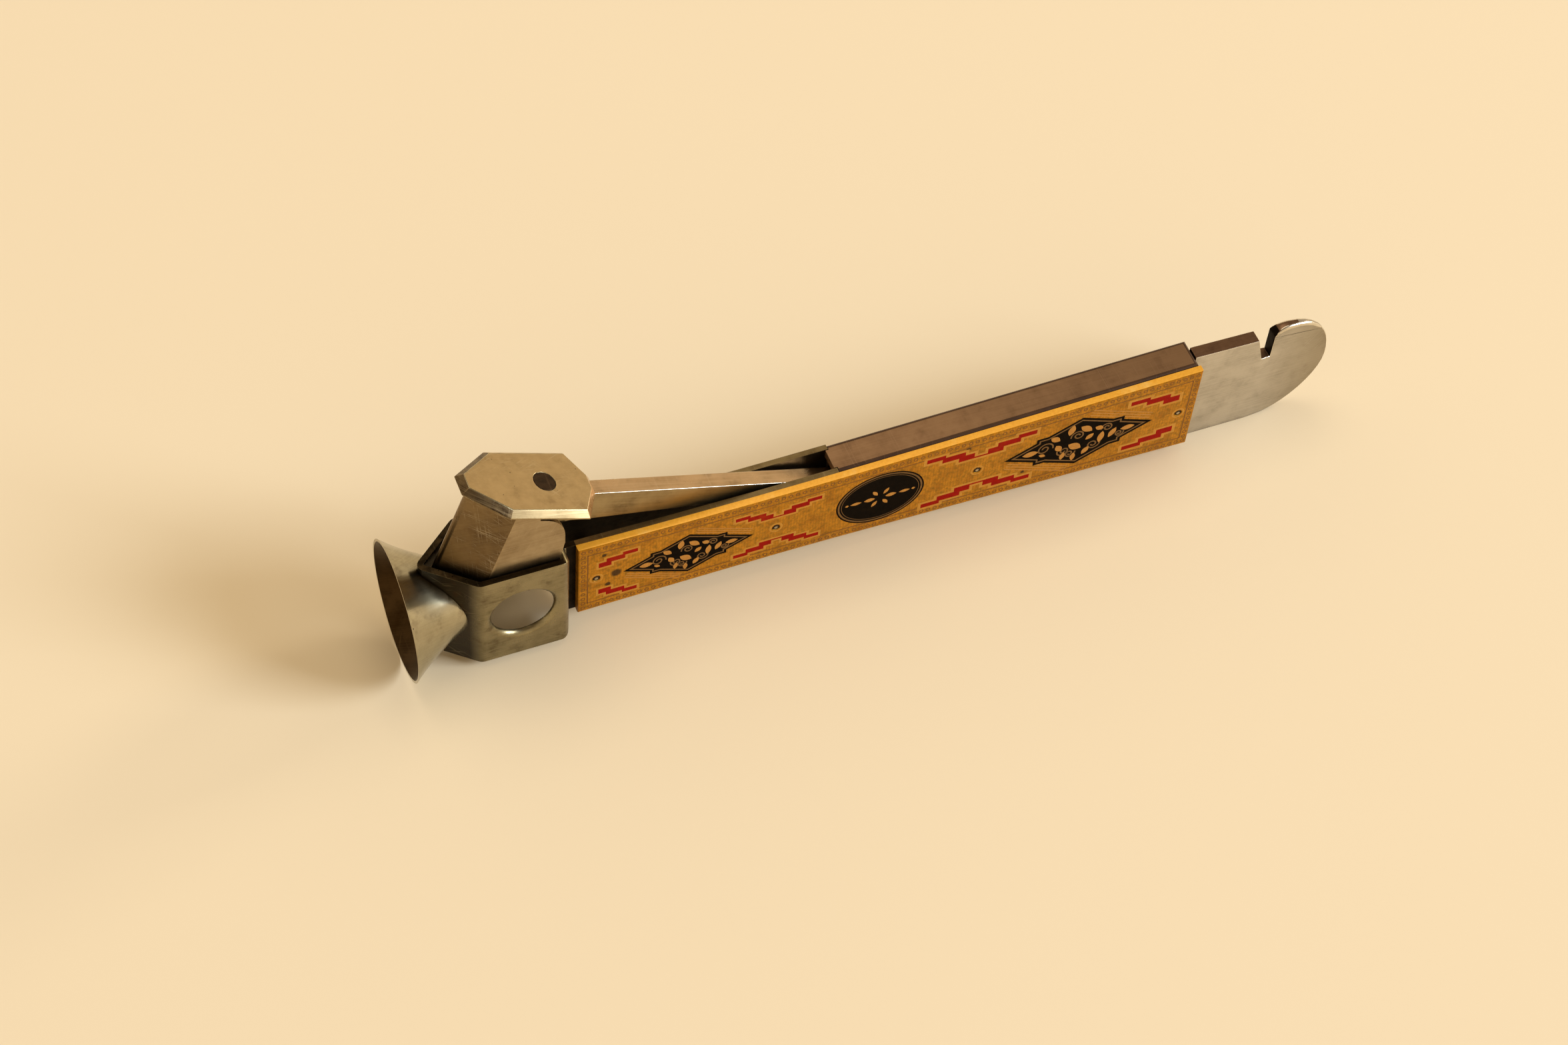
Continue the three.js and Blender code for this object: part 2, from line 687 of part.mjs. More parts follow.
const frameWidth = 2 * frameHalfWidth;
cutter.add(
  piece('pivot_pin', crossPin(pivotRadius, frameWidth, pivotX, pivotHeight), pinSteel()),
  piece('stop_pin', crossPin(stopPinRadius, frameWidth, ...stopPlace()), pinSteel()),
  piece('spring_rivet', crossPin(springRivetRadius, frameWidth, ...springRivetPlace()), pinSteel()),
);

// Lever with its plate, rivet and blade, tilted open about the pivot
const arm = new THREE.Group();
arm.position.set(pivotX, 0, pivotHeight);
arm.rotation.y = openTilt;
arm.add(
  piece('lever', makeLever(), groundSteel()),
  piece('v_blade', makeBlade(), bladeSteel()),
  piece('thumb_plate', onLever(makeThumbPlate()), nickel()),
  piece('thumb_rivet', onLever(rivetBody(0)), springSteel()),
);
cutter.add(arm);

export default cutter;
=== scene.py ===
import math

import bpy
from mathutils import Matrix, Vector


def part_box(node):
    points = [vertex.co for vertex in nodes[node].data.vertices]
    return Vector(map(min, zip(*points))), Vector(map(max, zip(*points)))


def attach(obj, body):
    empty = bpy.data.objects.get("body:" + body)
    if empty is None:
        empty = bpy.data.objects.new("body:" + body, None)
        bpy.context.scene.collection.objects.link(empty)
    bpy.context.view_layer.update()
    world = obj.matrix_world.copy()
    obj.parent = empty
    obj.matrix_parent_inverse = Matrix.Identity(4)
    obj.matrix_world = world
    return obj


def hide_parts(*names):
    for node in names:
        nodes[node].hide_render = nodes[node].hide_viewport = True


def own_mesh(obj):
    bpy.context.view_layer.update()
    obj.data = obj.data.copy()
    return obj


# Cigar cutter with a box opener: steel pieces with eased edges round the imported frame, and a
# lithographed side plate whose inks lie on it as thin films. Sizes are in millimetres unless
# a note says otherwise.

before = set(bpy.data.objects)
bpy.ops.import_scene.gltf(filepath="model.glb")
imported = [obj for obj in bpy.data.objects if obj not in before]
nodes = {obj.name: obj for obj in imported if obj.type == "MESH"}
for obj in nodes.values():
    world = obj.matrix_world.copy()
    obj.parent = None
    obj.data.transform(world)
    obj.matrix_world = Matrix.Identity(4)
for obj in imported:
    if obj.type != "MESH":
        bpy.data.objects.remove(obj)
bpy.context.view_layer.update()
mm = 0.001
print("frame:", len(nodes), "nodes")


# Tools

def only(piece):
    bpy.ops.object.select_all(action="DESELECT")
    piece.select_set(True)
    bpy.context.view_layer.objects.active = piece


# An sRGB hex colour as linear values
def linear(text):
    channels = []
    for start in (1, 3, 5):
        value = int(text[start:start + 2], 16) / 255
        channels.append(value / 12.92 if value <= 0.04045 else ((value + 0.055) / 1.055) ** 2.4)
    return (*channels, 1.0)


# Settings go to a socket of that name or number, or else to the node itself
def addNode(tree, kind, settings=None, links=None):
    node = tree.nodes.new("ShaderNode" + kind)
    for key, value in (settings or {}).items():
        if key == "stops":
            ramp = node.color_ramp.elements
            while len(ramp) < len(value):
                ramp.new(0.5)
            for element, (place, grey) in zip(ramp, value):
                element.position = place
                element.color = (grey, grey, grey, 1.0)
        elif isinstance(key, int) or key in node.inputs:
            node.inputs[key].default_value = value
        else:
            setattr(node, key, value)
    for key, source in (links or {}).items():
        tree.links.new(source, node.inputs[key])
    return node


def newMaterial(name, sockets):
    material = bpy.data.materials.new(name)
    material.use_nodes = True
    tree = material.node_tree
    shader = tree.nodes["Principled BSDF"]
    for socket, value in sockets.items():
        shader.inputs[socket].default_value = value
    place = addNode(tree, "TexCoord")
    return material, tree, shader, place.outputs["Object"]


# Coats of colour over a ground, each laid on through its mask
def layCoats(tree, ground, coats):
    colour = None
    for mask, coat in coats:
        links = {0: mask} if colour is None else {0: mask, 6: colour}
        mixed = addNode(tree, "Mix", {"data_type": "RGBA", 6: linear(ground), 7: linear(coat)}, links)
        colour = mixed.outputs[2]
    return colour


# Cloudy patches of about one size: a mask that rises to the share between two noise levels
def clouds(tree, at, size, levels, share):
    low, high = levels
    noise = addNode(tree, "TexNoise", {"Scale": 1 / (size * mm), "Detail": 5.0, "Roughness": 0.62},
                    {"Vector": at})
    ramp = addNode(tree, "ValToRGB", {"stops": [(low, 0.0), (high, share)]}, {"Fac": noise.outputs[0]})
    return ramp.outputs[0]


# A flat stretched noise whose threads are length by width, turned by the given angles: the
# first tips it upright, the second slants the threads and the third swings them round
def threads(tree, at, length, width, turn, levels):
    low, high = levels
    size = (length * mm, width * mm, mm)
    angles = [math.radians(angle) for angle in turn]
    laid = addNode(tree, "Mapping", {"vector_type": "TEXTURE", "Rotation": angles, "Scale": size},
                   {"Vector": at})
    noise = addNode(tree, "TexNoise", {"noise_dimensions": "2D", "Scale": 1.0, "Detail": 1.0},
                    {"Vector": laid.outputs[0]})
    ramp = addNode(tree, "ValToRGB", {"stops": [(low, 0.0), (high, 1.0)]}, {"Fac": noise.outputs[0]})
    return ramp.outputs[0]


# Metals

def agedMetal(name, look):
    material, tree, shader, at = newMaterial(name, {"Metallic": look["metallic"]})
    patches = clouds(tree, at, look["patch"], look["patchFrom"], 1.0)
    grind = threads(tree, at, look["grindLength"], look["grindWidth"], look["grindTurn"], look["grindFrom"])
    ground = addNode(tree, "Math", {"operation": "MULTIPLY", 1: look["grindDepth"]}, {0: grind}).outputs[0]
    coats = [(patches, look["tarnish"]), (ground, look["grindColour"])]
    # a slow change of colour along x towards one end; on the head it is painted shade
    if "fade" in look:
        fade = look["fade"]
        along = addNode(tree, "SeparateXYZ", {}, {0: at}).outputs[0]
        reached = addNode(tree, "MapRange", {"From Min": fade["from"] * mm, "From Max": fade["to"] * mm,
                                             "To Max": fade["share"]}, {"Value": along})
        coats.append((reached.outputs[0], fade["colour"]))
    stains = clouds(tree, at, look["stainSize"], look["stainFrom"], look["stainShare"])
    # scratches are about 0.05 mm wide on the real steel, drawn wider so that they show
    layers = [threads(tree, at, look["scratchLength"], look["scratchWidth"], turn, look["scratchFrom"])
              for turn in look["scratchTurns"]]
    scratched = layers[0]
    for layer in layers[1:]:
        scratched = addNode(tree, "Math", {"operation": "MAXIMUM"}, {0: scratched, 1: layer}).outputs[0]
    bunches = clouds(tree, at, look["scratchBunch"], look["bunchFrom"], look["scratchShare"])
    scratches = addNode(tree, "Math", {"operation": "MULTIPLY"}, {0: scratched, 1: bunches}).outputs[0]
    # some of the cells of a scattered pattern carry a dark speck
    cells = addNode(tree, "TexVoronoi", {"Scale": 1 / (look["speckSpacing"] * mm)}, {"Vector": at})
    core = look["speckSize"] * look["speckCore"]
    speck = addNode(tree, "ValToRGB", {"stops": [(core, 1.0), (look["speckSize"], 0.0)]},
                    {"Fac": cells.outputs["Distance"]})
    chosen = addNode(tree, "Math", {"operation": "GREATER_THAN", 1: 1 - look["speckShare"]},
                     {0: cells.outputs["Color"]})
    specks = addNode(tree, "Math", {"operation": "MULTIPLY"},
                     {0: speck.outputs[0], 1: chosen.outputs[0]}).outputs[0]
    # grime gathers in corners, and the ambient occlusion that finds them darkens them as painted shade too:
    # dirt and painted shade
    corner = addNode(tree, "AmbientOcclusion", {"samples": 8, "Distance": look["grimeAndShadeReach"] * mm})
    closed, clear = look["grimeAndShadeFrom"]
    grimeAndShade = addNode(tree, "ValToRGB", {"stops": [(closed, look["grimeAndShadeShare"]), (clear, 0.0)]},
                    {"Fac": corner.outputs["AO"]})
    coats += [(stains, look["stain"]), (scratches, look["scratch"]), (specks, look["speck"]),
              (grimeAndShade.outputs[0], look["grimeAndShade"])]
    tree.links.new(layCoats(tree, look["base"], coats), shader.inputs["Base Color"])
    # the tarnish is rougher than the clean metal, wiped unevenly, and the specks are dull
    smooth, rough = look["roughness"]
    polish = addNode(tree, "MapRange", {"To Min": smooth, "To Max": rough}, {"Value": patches})
    wiped = addNode(tree, "TexNoise", {"Scale": 1 / (look["patch"] * look["wipeSize"] * mm), "Detail": 3.0},
                    {"Vector": at})
    uneven = addNode(tree, "MapRange", {"To Min": -look["wipeDepth"], "To Max": look["wipeDepth"]},
                     {"Value": wiped.outputs[0]})
    total = addNode(tree, "Math", {"operation": "ADD", "use_clamp": True},
                    {0: polish.outputs[0], 1: uneven.outputs[0]})
    dull = addNode(tree, "Math", {"operation": "MULTIPLY_ADD", 1: look["speckDull"], "use_clamp": True},
                   {0: specks, 2: total.outputs[0]})
    tree.links.new(dull.outputs[0], shader.inputs["Roughness"])
    height = addNode(tree, "Math", {"operation": "SUBTRACT"}, {0: ground, 1: scratches})
    pitted = addNode(tree, "Math", {"operation": "SUBTRACT"}, {0: height.outputs[0], 1: specks})
    bump = addNode(tree, "Bump", {"Strength": look["bump"], "Distance": look["bumpDepth"] * mm},
                   {"Height": pitted.outputs[0]})
    tree.links.new(bump.outputs[0], shader.inputs["Normal"])
    return material


# What all the metals start from. Each From is the pair of levels between which a mark sets in,
# and each Share is how much of it shows; wipeSize is a share of the patches' size
plain = {
    "metallic": 1.0, "bump": 0.25, "bumpDepth": 0.02,
    "patch": 6, "patchFrom": (0.4, 0.72), "wipeSize": 0.3, "wipeDepth": 0.06,
    "stain": "#4A3018", "stainSize": 3, "stainFrom": (0.56, 0.72), "stainShare": 0.2,
    "grindLength": 9, "grindWidth": 0.2, "grindTurn": (45, 0, 0), "grindFrom": (0.3, 0.7), "grindDepth": 0.25,
    "scratchLength": 6, "scratchWidth": 0.2, "scratchTurns": [(90, 35, 0), (90, -50, 0)],
    "scratchFrom": (0.7, 0.76), "scratchBunch": 6, "bunchFrom": (0.44, 0.6), "scratchShare": 0.25,
    "speckSpacing": 1.6, "speckSize": 0.16, "speckCore": 0.5, "speckShare": 0.12, "speckDull": 0.3,
    # grime and painted shade in corners, from ambient occlusion
    "grimeAndShadeReach": 1.2, "grimeAndShadeFrom": (0.25, 0.8), "grimeAndShadeShare": 0.7,
}

# Nickel-plated steel, pressed: a soft grey satin, gone olive and brown in patches, with dark specks where the
# plating has broken, and painted nearly black towards the funnel's foot as painted shade, for the shadowed
# floor its front mirrors
nickelPlate = agedMetal("nickelPlatedSteelPressed", plain | {
    "base": "#94896A", "tarnish": "#655A3E", "grindColour": "#A69B7B", "scratch": "#BDB393",
    "speck": "#241A10", "grimeAndShade": "#2A2012", "roughness": (0.26, 0.38), "stainShare": 0.4, "grimeAndShadeShare": 0.4,
    "scratchTurns": [(90, 35, 0), (90, -20, -40)], "speckSpacing": 1.3, "speckShare": 0.16,
    # painted shade: the head's front darkened towards the funnel's foot
    "fade": {"colour": "#1E1408", "from": -70.4, "to": -72.8, "share": 0.93},
})
# The same plating on the spun funnel, brighter where it is wiped
nickelSpun = agedMetal("nickelPlatedSteelSpun", plain | {
    "base": "#B4AC92", "tarnish": "#8A8166", "grindColour": "#C0B89E", "scratch": "#CEC6AC",
    "speck": "#2E2214", "grimeAndShade": "#2A2012", "roughness": (0.15, 0.26), "stainShare": 0.35, "grimeAndShadeShare": 0.5,
    "patch": 9, "scratchTurns": [(90, 60, 0), (90, -30, 0)], "speckSpacing": 1.5, "speckShare": 0.1,
})
# The head's top rim, where the plating has broken up and rusted dark
nickelBroken = agedMetal("nickelPlatedSteelBroken", plain | {
    "base": "#3A2E1C", "tarnish": "#1C150B", "grindColour": "#483B26", "scratch": "#7C7054",
    "speck": "#120C07", "grimeAndShade": "#0E0906", "roughness": (0.4, 0.55), "patch": 1.6, "patchFrom": (0.34, 0.62),
    "speckSpacing": 0.6, "speckSize": 0.26, "speckShare": 0.25,
})
# The same plating rubbed bright along edges and rims, with more of it broken through
nickelEdge = agedMetal("nickelPlatedSteelRubbed", plain | {
    "base": "#BDB28F", "tarnish": "#807454", "grindColour": "#CFC5A4", "scratch": "#E2D9BC",
    "speck": "#2A1E12", "grimeAndShade": "#2E2418", "roughness": (0.2, 0.32), "patch": 2.5,
    "speckSpacing": 0.8, "speckSize": 0.24, "speckShare": 0.25, "grimeAndShadeShare": 0.3,
})
# The funnel's inside, plated but never wiped: brown with tobacco, and darker still as painted shade, for the
# dark inside that it mirrors
nickelStainedShaded = agedMetal("nickelPlatedSteelStainedShaded", plain | {
    "base": "#3E2E1A", "tarnish": "#241808", "grindColour": "#4C3A22", "scratch": "#5E4C30",
    "speck": "#1A120A", "grimeAndShade": "#150E08", "roughness": (0.34, 0.46), "patch": 3,
})
# The thumb plate's plating, worn to a warm satin by the thumb and crossed by fine scratches
nickelThumb = agedMetal("nickelPlatedSteelHandled", plain | {
    "base": "#C0A678", "tarnish": "#A0865A", "grindColour": "#CCB48A", "scratch": "#E6D6B2",
    "speck": "#3A2A1A", "grimeAndShade": "#2A1F14", "roughness": (0.34, 0.44), "grindTurn": (45, 23.5, 0),
    "grindDepth": 0.1, "patch": 3, "patchFrom": (0.36, 0.74),
    "scratchTurns": [(0, 20, 32), (0, 15, -52), (0, 23, 8)], "scratchLength": 5, "scratchShare": 0.3,
    "speckSpacing": 0.9, "speckShare": 0.2, "speckSize": 0.14,
})
# Its front bevels, darkened as painted shade: they mirror the shadowed floor in front
nickelShadedBevel = agedMetal("nickelPlatedSteelShadedBevel", plain | {
    "base": "#786547", "tarnish": "#3A2C1C", "grindColour": "#8A7758", "scratch": "#B8A888",
    "speck": "#241A10", "grimeAndShade": "#1E160D", "roughness": (0.34, 0.46), "patch": 2.5, "patchFrom": (0.36, 0.6),
    "grindTurn": (45, 23.5, -30), "grindDepth": 0.5, "grindLength": 4,
})
# Lever bar, carbon steel drawn and filed: warm satin with long streaks
leverSteel = agedMetal("carbonSteelDrawn", plain | {
    "base": "#D6B68C", "tarnish": "#AC8E66", "grindColour": "#E2C6A0", "scratch": "#E6D4B4",
    "speck": "#4A3A28", "grimeAndShade": "#2A1F14", "roughness": (0.28, 0.38), "grindDepth": 0.4,
    "grindLength": 14, "grindTurn": (45, 19, 0), "scratchTurns": [(45, 19, 0), (90, 5, 0)], "speckShare": 0.1,
    "bump": 0.1,
})
# The lever's sides, left as drawn: greyer and duller
leverSide = agedMetal("carbonSteelScaled", plain | {
    "base": "#A5926C", "tarnish": "#7C6A4A", "grindColour": "#B29F79", "scratch": "#C4B492",
    "speck": "#3A2D1E", "grimeAndShade": "#20170F", "roughness": (0.32, 0.44), "grindDepth": 0.4,
    "grindLength": 14, "grindTurn": (45, 19, 0), "scratchTurns": [(90, 19, 0)], "speckShare": 0.16,
    "grimeAndShadeShare": 0.3,
})
# Opener blade, carbon steel ground flat along its length: paler, cooler satin with fine lines
groundSteel = agedMetal("carbonSteelGround", plain | {
    "base": "#C2BCB2", "tarnish": "#A39C90", "grindColour": "#D2CCC4", "scratch": "#DED8CE",
    "speck": "#4A3D30", "grimeAndShade": "#2F271F", "roughness": (0.3, 0.4), "grindDepth": 0.4,
    "grindLength": 16, "grindWidth": 0.16, "speckShare": 0.06, "stainShare": 0.12, "bump": 0.12,
    "fade": {"colour": "#86775A", "from": 70, "to": 81, "share": 0.6},
})
# The same steel rubbed bare along edges: thin bright lines
groundEdge = agedMetal("carbonSteelRubbed", plain | {
    "base": "#E2DACA", "tarnish": "#C4B8A2", "grindColour": "#F0E8DA", "scratch": "#F4EDE0",
    "speck": "#6A5B49", "grimeAndShade": "#4A3F33", "roughness": (0.2, 0.3), "speckShare": 0.05,
    "grimeAndShadeShare": 0.3, "stainShare": 0.0,
})
# The opener's sawn edges, left brown and dull
brownedEdge = agedMetal("carbonSteelBrowned", plain | {
    "base": "#7C604A", "tarnish": "#5C4432", "grindColour": "#8A6E56", "scratch": "#9A8068",
    "speck": "#2E2016", "grimeAndShade": "#20160E", "roughness": (0.36, 0.46), "patch": 2,
})
# Blade sheet, hardened and wiped with use: a brown-grey satin
bladeSteel = agedMetal("hardenedSteelWiped", plain | {
    "base": "#B09C7C", "tarnish": "#8C7655", "grindColour": "#BFAC8C", "scratch": "#D6C6A8",
    "speck": "#33271C", "grimeAndShade": "#241A10", "roughness": (0.3, 0.42), "patch": 8,
    "scratchTurns": [(90, 30, 0), (90, -60, 0)],
})
# Its pointed front, browner and crossed by light scratches from the cigars
bladeScratched = agedMetal("hardenedSteelScratched", plain | {
    "base": "#7C6748", "tarnish": "#5A4730", "grindColour": "#8C7756", "scratch": "#E6D8BA",
    "speck": "#33271C", "grimeAndShade": "#241A10", "roughness": (0.3, 0.42), "patch": 8,
    "scratchTurns": [(90, 8, -38), (90, 80, -38), (90, 28, -38)],
    "scratchShare": 0.3, "scratchLength": 16, "scratchWidth": 0.16, "scratchFrom": (0.66, 0.74),
    "scratchBunch": 4, "stainShare": 0.35,
})
# Rolled steel channel under a thin brown oxide: dark taupe satin
spineSteel = agedMetal("rolledSteelOxidised", plain | {
    "base": "#94724F", "tarnish": "#78593A", "grindColour": "#A07D5A", "scratch": "#B4926E",
    "speck": "#2B211A", "grimeAndShade": "#1F1610", "roughness": (0.42, 0.52), "grindLength": 18,
    "scratchShare": 0.15, "metallic": 0.7, "stainShare": 0.15, "speckShare": 0.03,
    "fade": {"colour": "#5A4028", "from": 5, "to": 55, "share": 0.4},
})
# The channel's sides, where hands have taken some of the oxide off
spineSide = agedMetal("rolledSteelHandled", plain | {
    "base": "#80694A", "tarnish": "#5E4A32", "grindColour": "#8E7858", "scratch": "#A4906E",
    "speck": "#2B211A", "grimeAndShade": "#1F1610", "roughness": (0.38, 0.5), "grindLength": 18, "patch": 9,
    "metallic": 0.8, "stainShare": 0.3, "speckShare": 0.06,
})
# The channel's rounded upper edges, a darker brown than its faces
spineEdge = agedMetal("rolledSteelDarkened", plain | {
    "base": "#4E3622", "tarnish": "#382416", "grindColour": "#5A4230", "scratch": "#7A5E46",
    "speck": "#1E150E", "grimeAndShade": "#140D08", "roughness": (0.4, 0.5), "metallic": 0.7, "speckShare": 0.03,
})
# Spring, rivet and the pins' rims, dark with old oil
darkSteel = agedMetal("springSteelBlackened", plain | {
    "base": "#3E2F20", "tarnish": "#261B11", "grindColour": "#4C3C2B", "scratch": "#64523E",
    "speck": "#1A1410", "grimeAndShade": "#120D09", "roughness": (0.4, 0.52), "patch": 1.2,
})
# The arms' sides in the slit behind the head and the opener's notch: painted black, as painted shade where
# they lie in shadow
shadowBlackSteel = agedMetal("steelPaintedShadowBlack", plain | {
    "base": "#1C150E", "tarnish": "#100B06", "grindColour": "#261D14", "scratch": "#3A2E22",
    "speck": "#0C0805", "grimeAndShade": "#080503", "roughness": (0.55, 0.7), "patch": 2,
})
# The arms' top edges, browned where the lever rubs past
armEdge = agedMetal("nickelPlatedSteelArms", plain | {
    "base": "#86744F", "tarnish": "#645336", "grindColour": "#94825E", "scratch": "#AC9C78",
    "speck": "#241A10", "grimeAndShade": "#1E160D", "roughness": (0.34, 0.46), "patch": 3, "grimeAndShadeShare": 0.3,
})
# The far arm's inner side, kept brown by the lever
armInside = agedMetal("nickelPlatedSteelOiled", plain | {
    "base": "#5C4E38", "tarnish": "#3C301E", "grindColour": "#6A5B43", "scratch": "#84755A",
    "speck": "#1C140C", "grimeAndShade": "#140E08", "roughness": (0.4, 0.5), "patch": 3, "grimeAndShadeShare": 0.4,
})
# Drawn pin wire, cut and polished: small bright discs of a warm grey
pinSteel = agedMetal("drawnSteelPolished", plain | {
    "base": "#B5A88E", "tarnish": "#86785F", "grindColour": "#CBBFA8", "scratch": "#D8CDB6",
    "speck": "#2E251C", "grimeAndShade": "#1E1812", "roughness": (0.28, 0.38), "patch": 1.5,
})
print("metals:", len(bpy.data.materials))


# Steel pieces: copies of the frame's solids with eased edges

# merge and sliver are distances; flat, sharp and smooth are angles in degrees
easing = {"merge": 0.002, "sliver": 0.001, "flat": 0.5, "sharp": 32, "smooth": 40, "segments": 3,
          "roundSegments": 4, "roundProfile": 0.5}


# Edges of one side of the piece whose two ends are wanted
def selectEdges(piece, wanted):
    bpy.ops.mesh.select_all(action="DESELECT")
    bpy.ops.object.mode_set(mode="OBJECT")
    for edge in piece.data.edges:
        first, second = (piece.data.vertices[index].co for index in edge.vertices)
        sameSide = first.y * second.y > 0
        edge.select = sameSide and wanted(first) and wanted(second)
    bpy.ops.object.mode_set(mode="EDIT")


# Bevel weights on the sharp edges, worked out from each edge's middle
def weighEdges(piece, sharp, weigh):
    sides = {}
    for face in piece.data.polygons:
        for key in face.edge_keys:
            sides.setdefault(key, []).append(face.normal)
    weights = piece.data.attributes.new("bevel_weight_edge", "FLOAT", "EDGE")
    for edge in piece.data.edges:
        first, second = (piece.data.vertices[index].co for index in edge.vertices)
        if sides[edge.key][0].angle(sides[edge.key][1]) > sharp:
            weights.data[edge.index].value = weigh((first + second) / 2 / mm)


def easedCopy(pieceName, look):
    node = look["node"]
    piece = bpy.data.objects.new(pieceName, nodes[node].data.copy())
    bpy.context.scene.collection.objects.link(piece)
    only(piece)
    piece.data.materials.clear()
    piece.data.materials.append(look["face"])
    piece.data.materials.append(look["rim"])
    bpy.ops.object.mode_set(mode="EDIT")
    bpy.ops.mesh.select_all(action="SELECT")
    bpy.ops.mesh.remove_doubles(threshold=easing["merge"] * mm)
    bpy.ops.mesh.dissolve_limited(angle_limit=math.radians(easing["flat"]))
    if "rounded" in look:
        selectEdges(piece, look["rounded"])
        bpy.ops.mesh.bevel(offset=look["rounding"] * mm, segments=easing["roundSegments"],
                           profile=look.get("profile", easing["roundProfile"]),
                           material=look.get("roundedWith", -1))
    bpy.ops.object.mode_set(mode="OBJECT")
    bevel = piece.modifiers.new("easedEdges", "BEVEL")
    bevel.width = look["edge"] * mm
    bevel.segments = look.get("segments", easing["segments"])
    bevel.limit_method = "ANGLE"
    bevel.angle_limit = math.radians(easing["sharp"])
    if "swell" in look:
        weighEdges(piece, bevel.angle_limit, look["swell"])
        bevel.limit_method = "WEIGHT"
        bevel.use_clamp_overlap = False
    bevel.material = 1
    bpy.ops.object.modifier_apply(modifier="easedEdges")
    # what the bevel leaves without width is merged
    bpy.ops.object.mode_set(mode="EDIT")
    bpy.ops.mesh.select_all(action="SELECT")
    bpy.ops.mesh.remove_doubles(threshold=easing["merge"] * mm)
    bpy.ops.mesh.dissolve_degenerate(threshold=easing["sliver"] * mm)
    bpy.ops.object.mode_set(mode="OBJECT")
    bpy.ops.object.shade_smooth_by_angle(angle=math.radians(easing["smooth"]))
    weighted = piece.modifiers.new("flatFaces", "WEIGHTED_NORMAL")
    weighted.keep_sharp = True
    bpy.ops.object.modifier_apply(modifier="flatFaces")
    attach(piece, look["body"])
    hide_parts(node)
    print(pieceName, len(piece.data.polygons), "faces")
    return piece


def repaint(piece, material, wanted):
    piece.data.materials.append(material)
    for face in piece.data.polygons:
        if wanted(face):
            face.material_index = len(piece.data.materials) - 1


# a point this near to a surface lies on it
touch = 0.01

# the side holes' edges, on the head's two outer faces
sideHole = {"centre": Vector((-64.06, 0, 11.78)), "radius": 5.25, "margin": 0.1}
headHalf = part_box("head_band")[1].y


def onSideHole(point):
    out = point / mm - sideHole["centre"]
    onFace = abs(abs(point.y) - headHalf) < touch * mm
    return onFace and math.hypot(out.x, out.z) < sideHole["radius"] + sideHole["margin"]


# the channel's upper long edges, this far and more above its middle
channelLow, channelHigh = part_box("rear_channel")
aboveMiddle = 4


def onSpineEdge(point):
    upper = point.z > (channelLow.z + channelHigh.z) / 2 + aboveMiddle * mm
    return upper and abs(point.y) > channelHigh.y - touch * mm


# the opener's edges are eased, and swell to a rounding on top of its tip, past the notch: from
# is where on x that starts, swell how far it takes, drop how far below the top it reaches, and
# share how much of the half thickness it may take
openerEase = {"eased": 0.12, "rounded": 0.6, "from": 71, "swell": 2, "drop": 2.5, "share": 0.8}
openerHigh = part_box("box_opener")[1]


def openerSwell(middle):
    width = openerEase["eased"]
    past = middle.x - openerEase["from"]
    if past > 0 and middle.z > openerHigh.z / mm - openerEase["drop"]:
        swollen = min(openerEase["rounded"], width + past / openerEase["swell"] * openerEase["rounded"])
        width = max(width, min(swollen, abs(middle.y) * openerEase["share"]))
    return width / openerEase["rounded"]


steelPieces = {
    "easedHeadBand": {"node": "head_band", "body": "body", "slot": "nickel_steel", "edge": 0.18,
                      "face": nickelPlate, "rim": nickelEdge, "rounded": onSideHole, "rounding": 0.94,
                      "profile": 0.4},
    "easedFunnel": {"node": "funnel", "body": "body", "slot": "nickel_steel", "edge": 0.14,
                    "face": nickelSpun, "rim": nickelEdge},
    "easedThumbPlate": {"node": "thumb_plate", "body": "lever", "slot": "nickel_steel", "edge": 0.12,
                        "face": nickelThumb, "rim": nickelEdge},
    "easedLever": {"node": "lever", "body": "lever", "slot": "ground_steel", "edge": 0.2,
                   "face": leverSteel, "rim": groundEdge},
    "easedBlade": {"node": "v_blade", "body": "lever", "slot": "blade_steel", "edge": 0.1,
                   "face": bladeSteel, "rim": bladeSteel},
    "easedChannel": {"node": "rear_channel", "body": "body", "slot": "spine_steel", "edge": 0.1,
                     "face": spineSteel, "rim": spineEdge, "rounded": onSpineEdge, "rounding": 0.8,
                     "roundedWith": 1},
    "easedOpener": {"node": "box_opener", "body": "body", "slot": "ground_steel",
                    "edge": openerEase["rounded"], "face": groundSteel, "rim": groundEdge,
                    "swell": openerSwell},
    "easedRivet": {"node": "thumb_rivet", "body": "lever", "slot": "spring_steel", "edge": 0.06,
                   "face": darkSteel, "rim": darkSteel},
    "easedSpring": {"node": "leaf_spring", "body": "body", "slot": "spring_steel", "edge": 0.05,
                    "face": darkSteel, "rim": darkSteel},
}
made = {pieceName: easedCopy(pieceName, look) for pieceName, look in steelPieces.items()}

# how far a face's normal leans along an axis, at least, to count as one of these
leans = {"armSide": 0.5, "armTop": 0.6, "headRim": 0.9, "thumbFront": 0.1, "thumbFrontUp": 0.3,
         "thumbNear": 0.5, "thumbRear": 0.6, "thumbRearUp": 0.2, "bladeFront": 0.3, "leverSide": 0.8,
         "channelSide": 0.98, "openerSide": 0.3, "notchWall": 0.5, "funnelInside": 0.2,
         "plateFlange": 0.6, "pinEnd": 0.99}

# the head's arms are painted black inside and behind the plate: painted shade, for the shadow in the slit
# there
armsFrom = -55.4 * mm


def inShadowedSlit(face):
    outer = face.normal.y > leans["armSide"] and face.center.y > 0
    return face.center.x > armsFrom and face.normal.z < leans["armTop"] and not outer


repaint(made["easedHeadBand"], shadowBlackSteel, inShadowedSlit)
repaint(made["easedHeadBand"], armEdge,
        lambda face: face.center.x > armsFrom and face.normal.z > leans["armTop"])
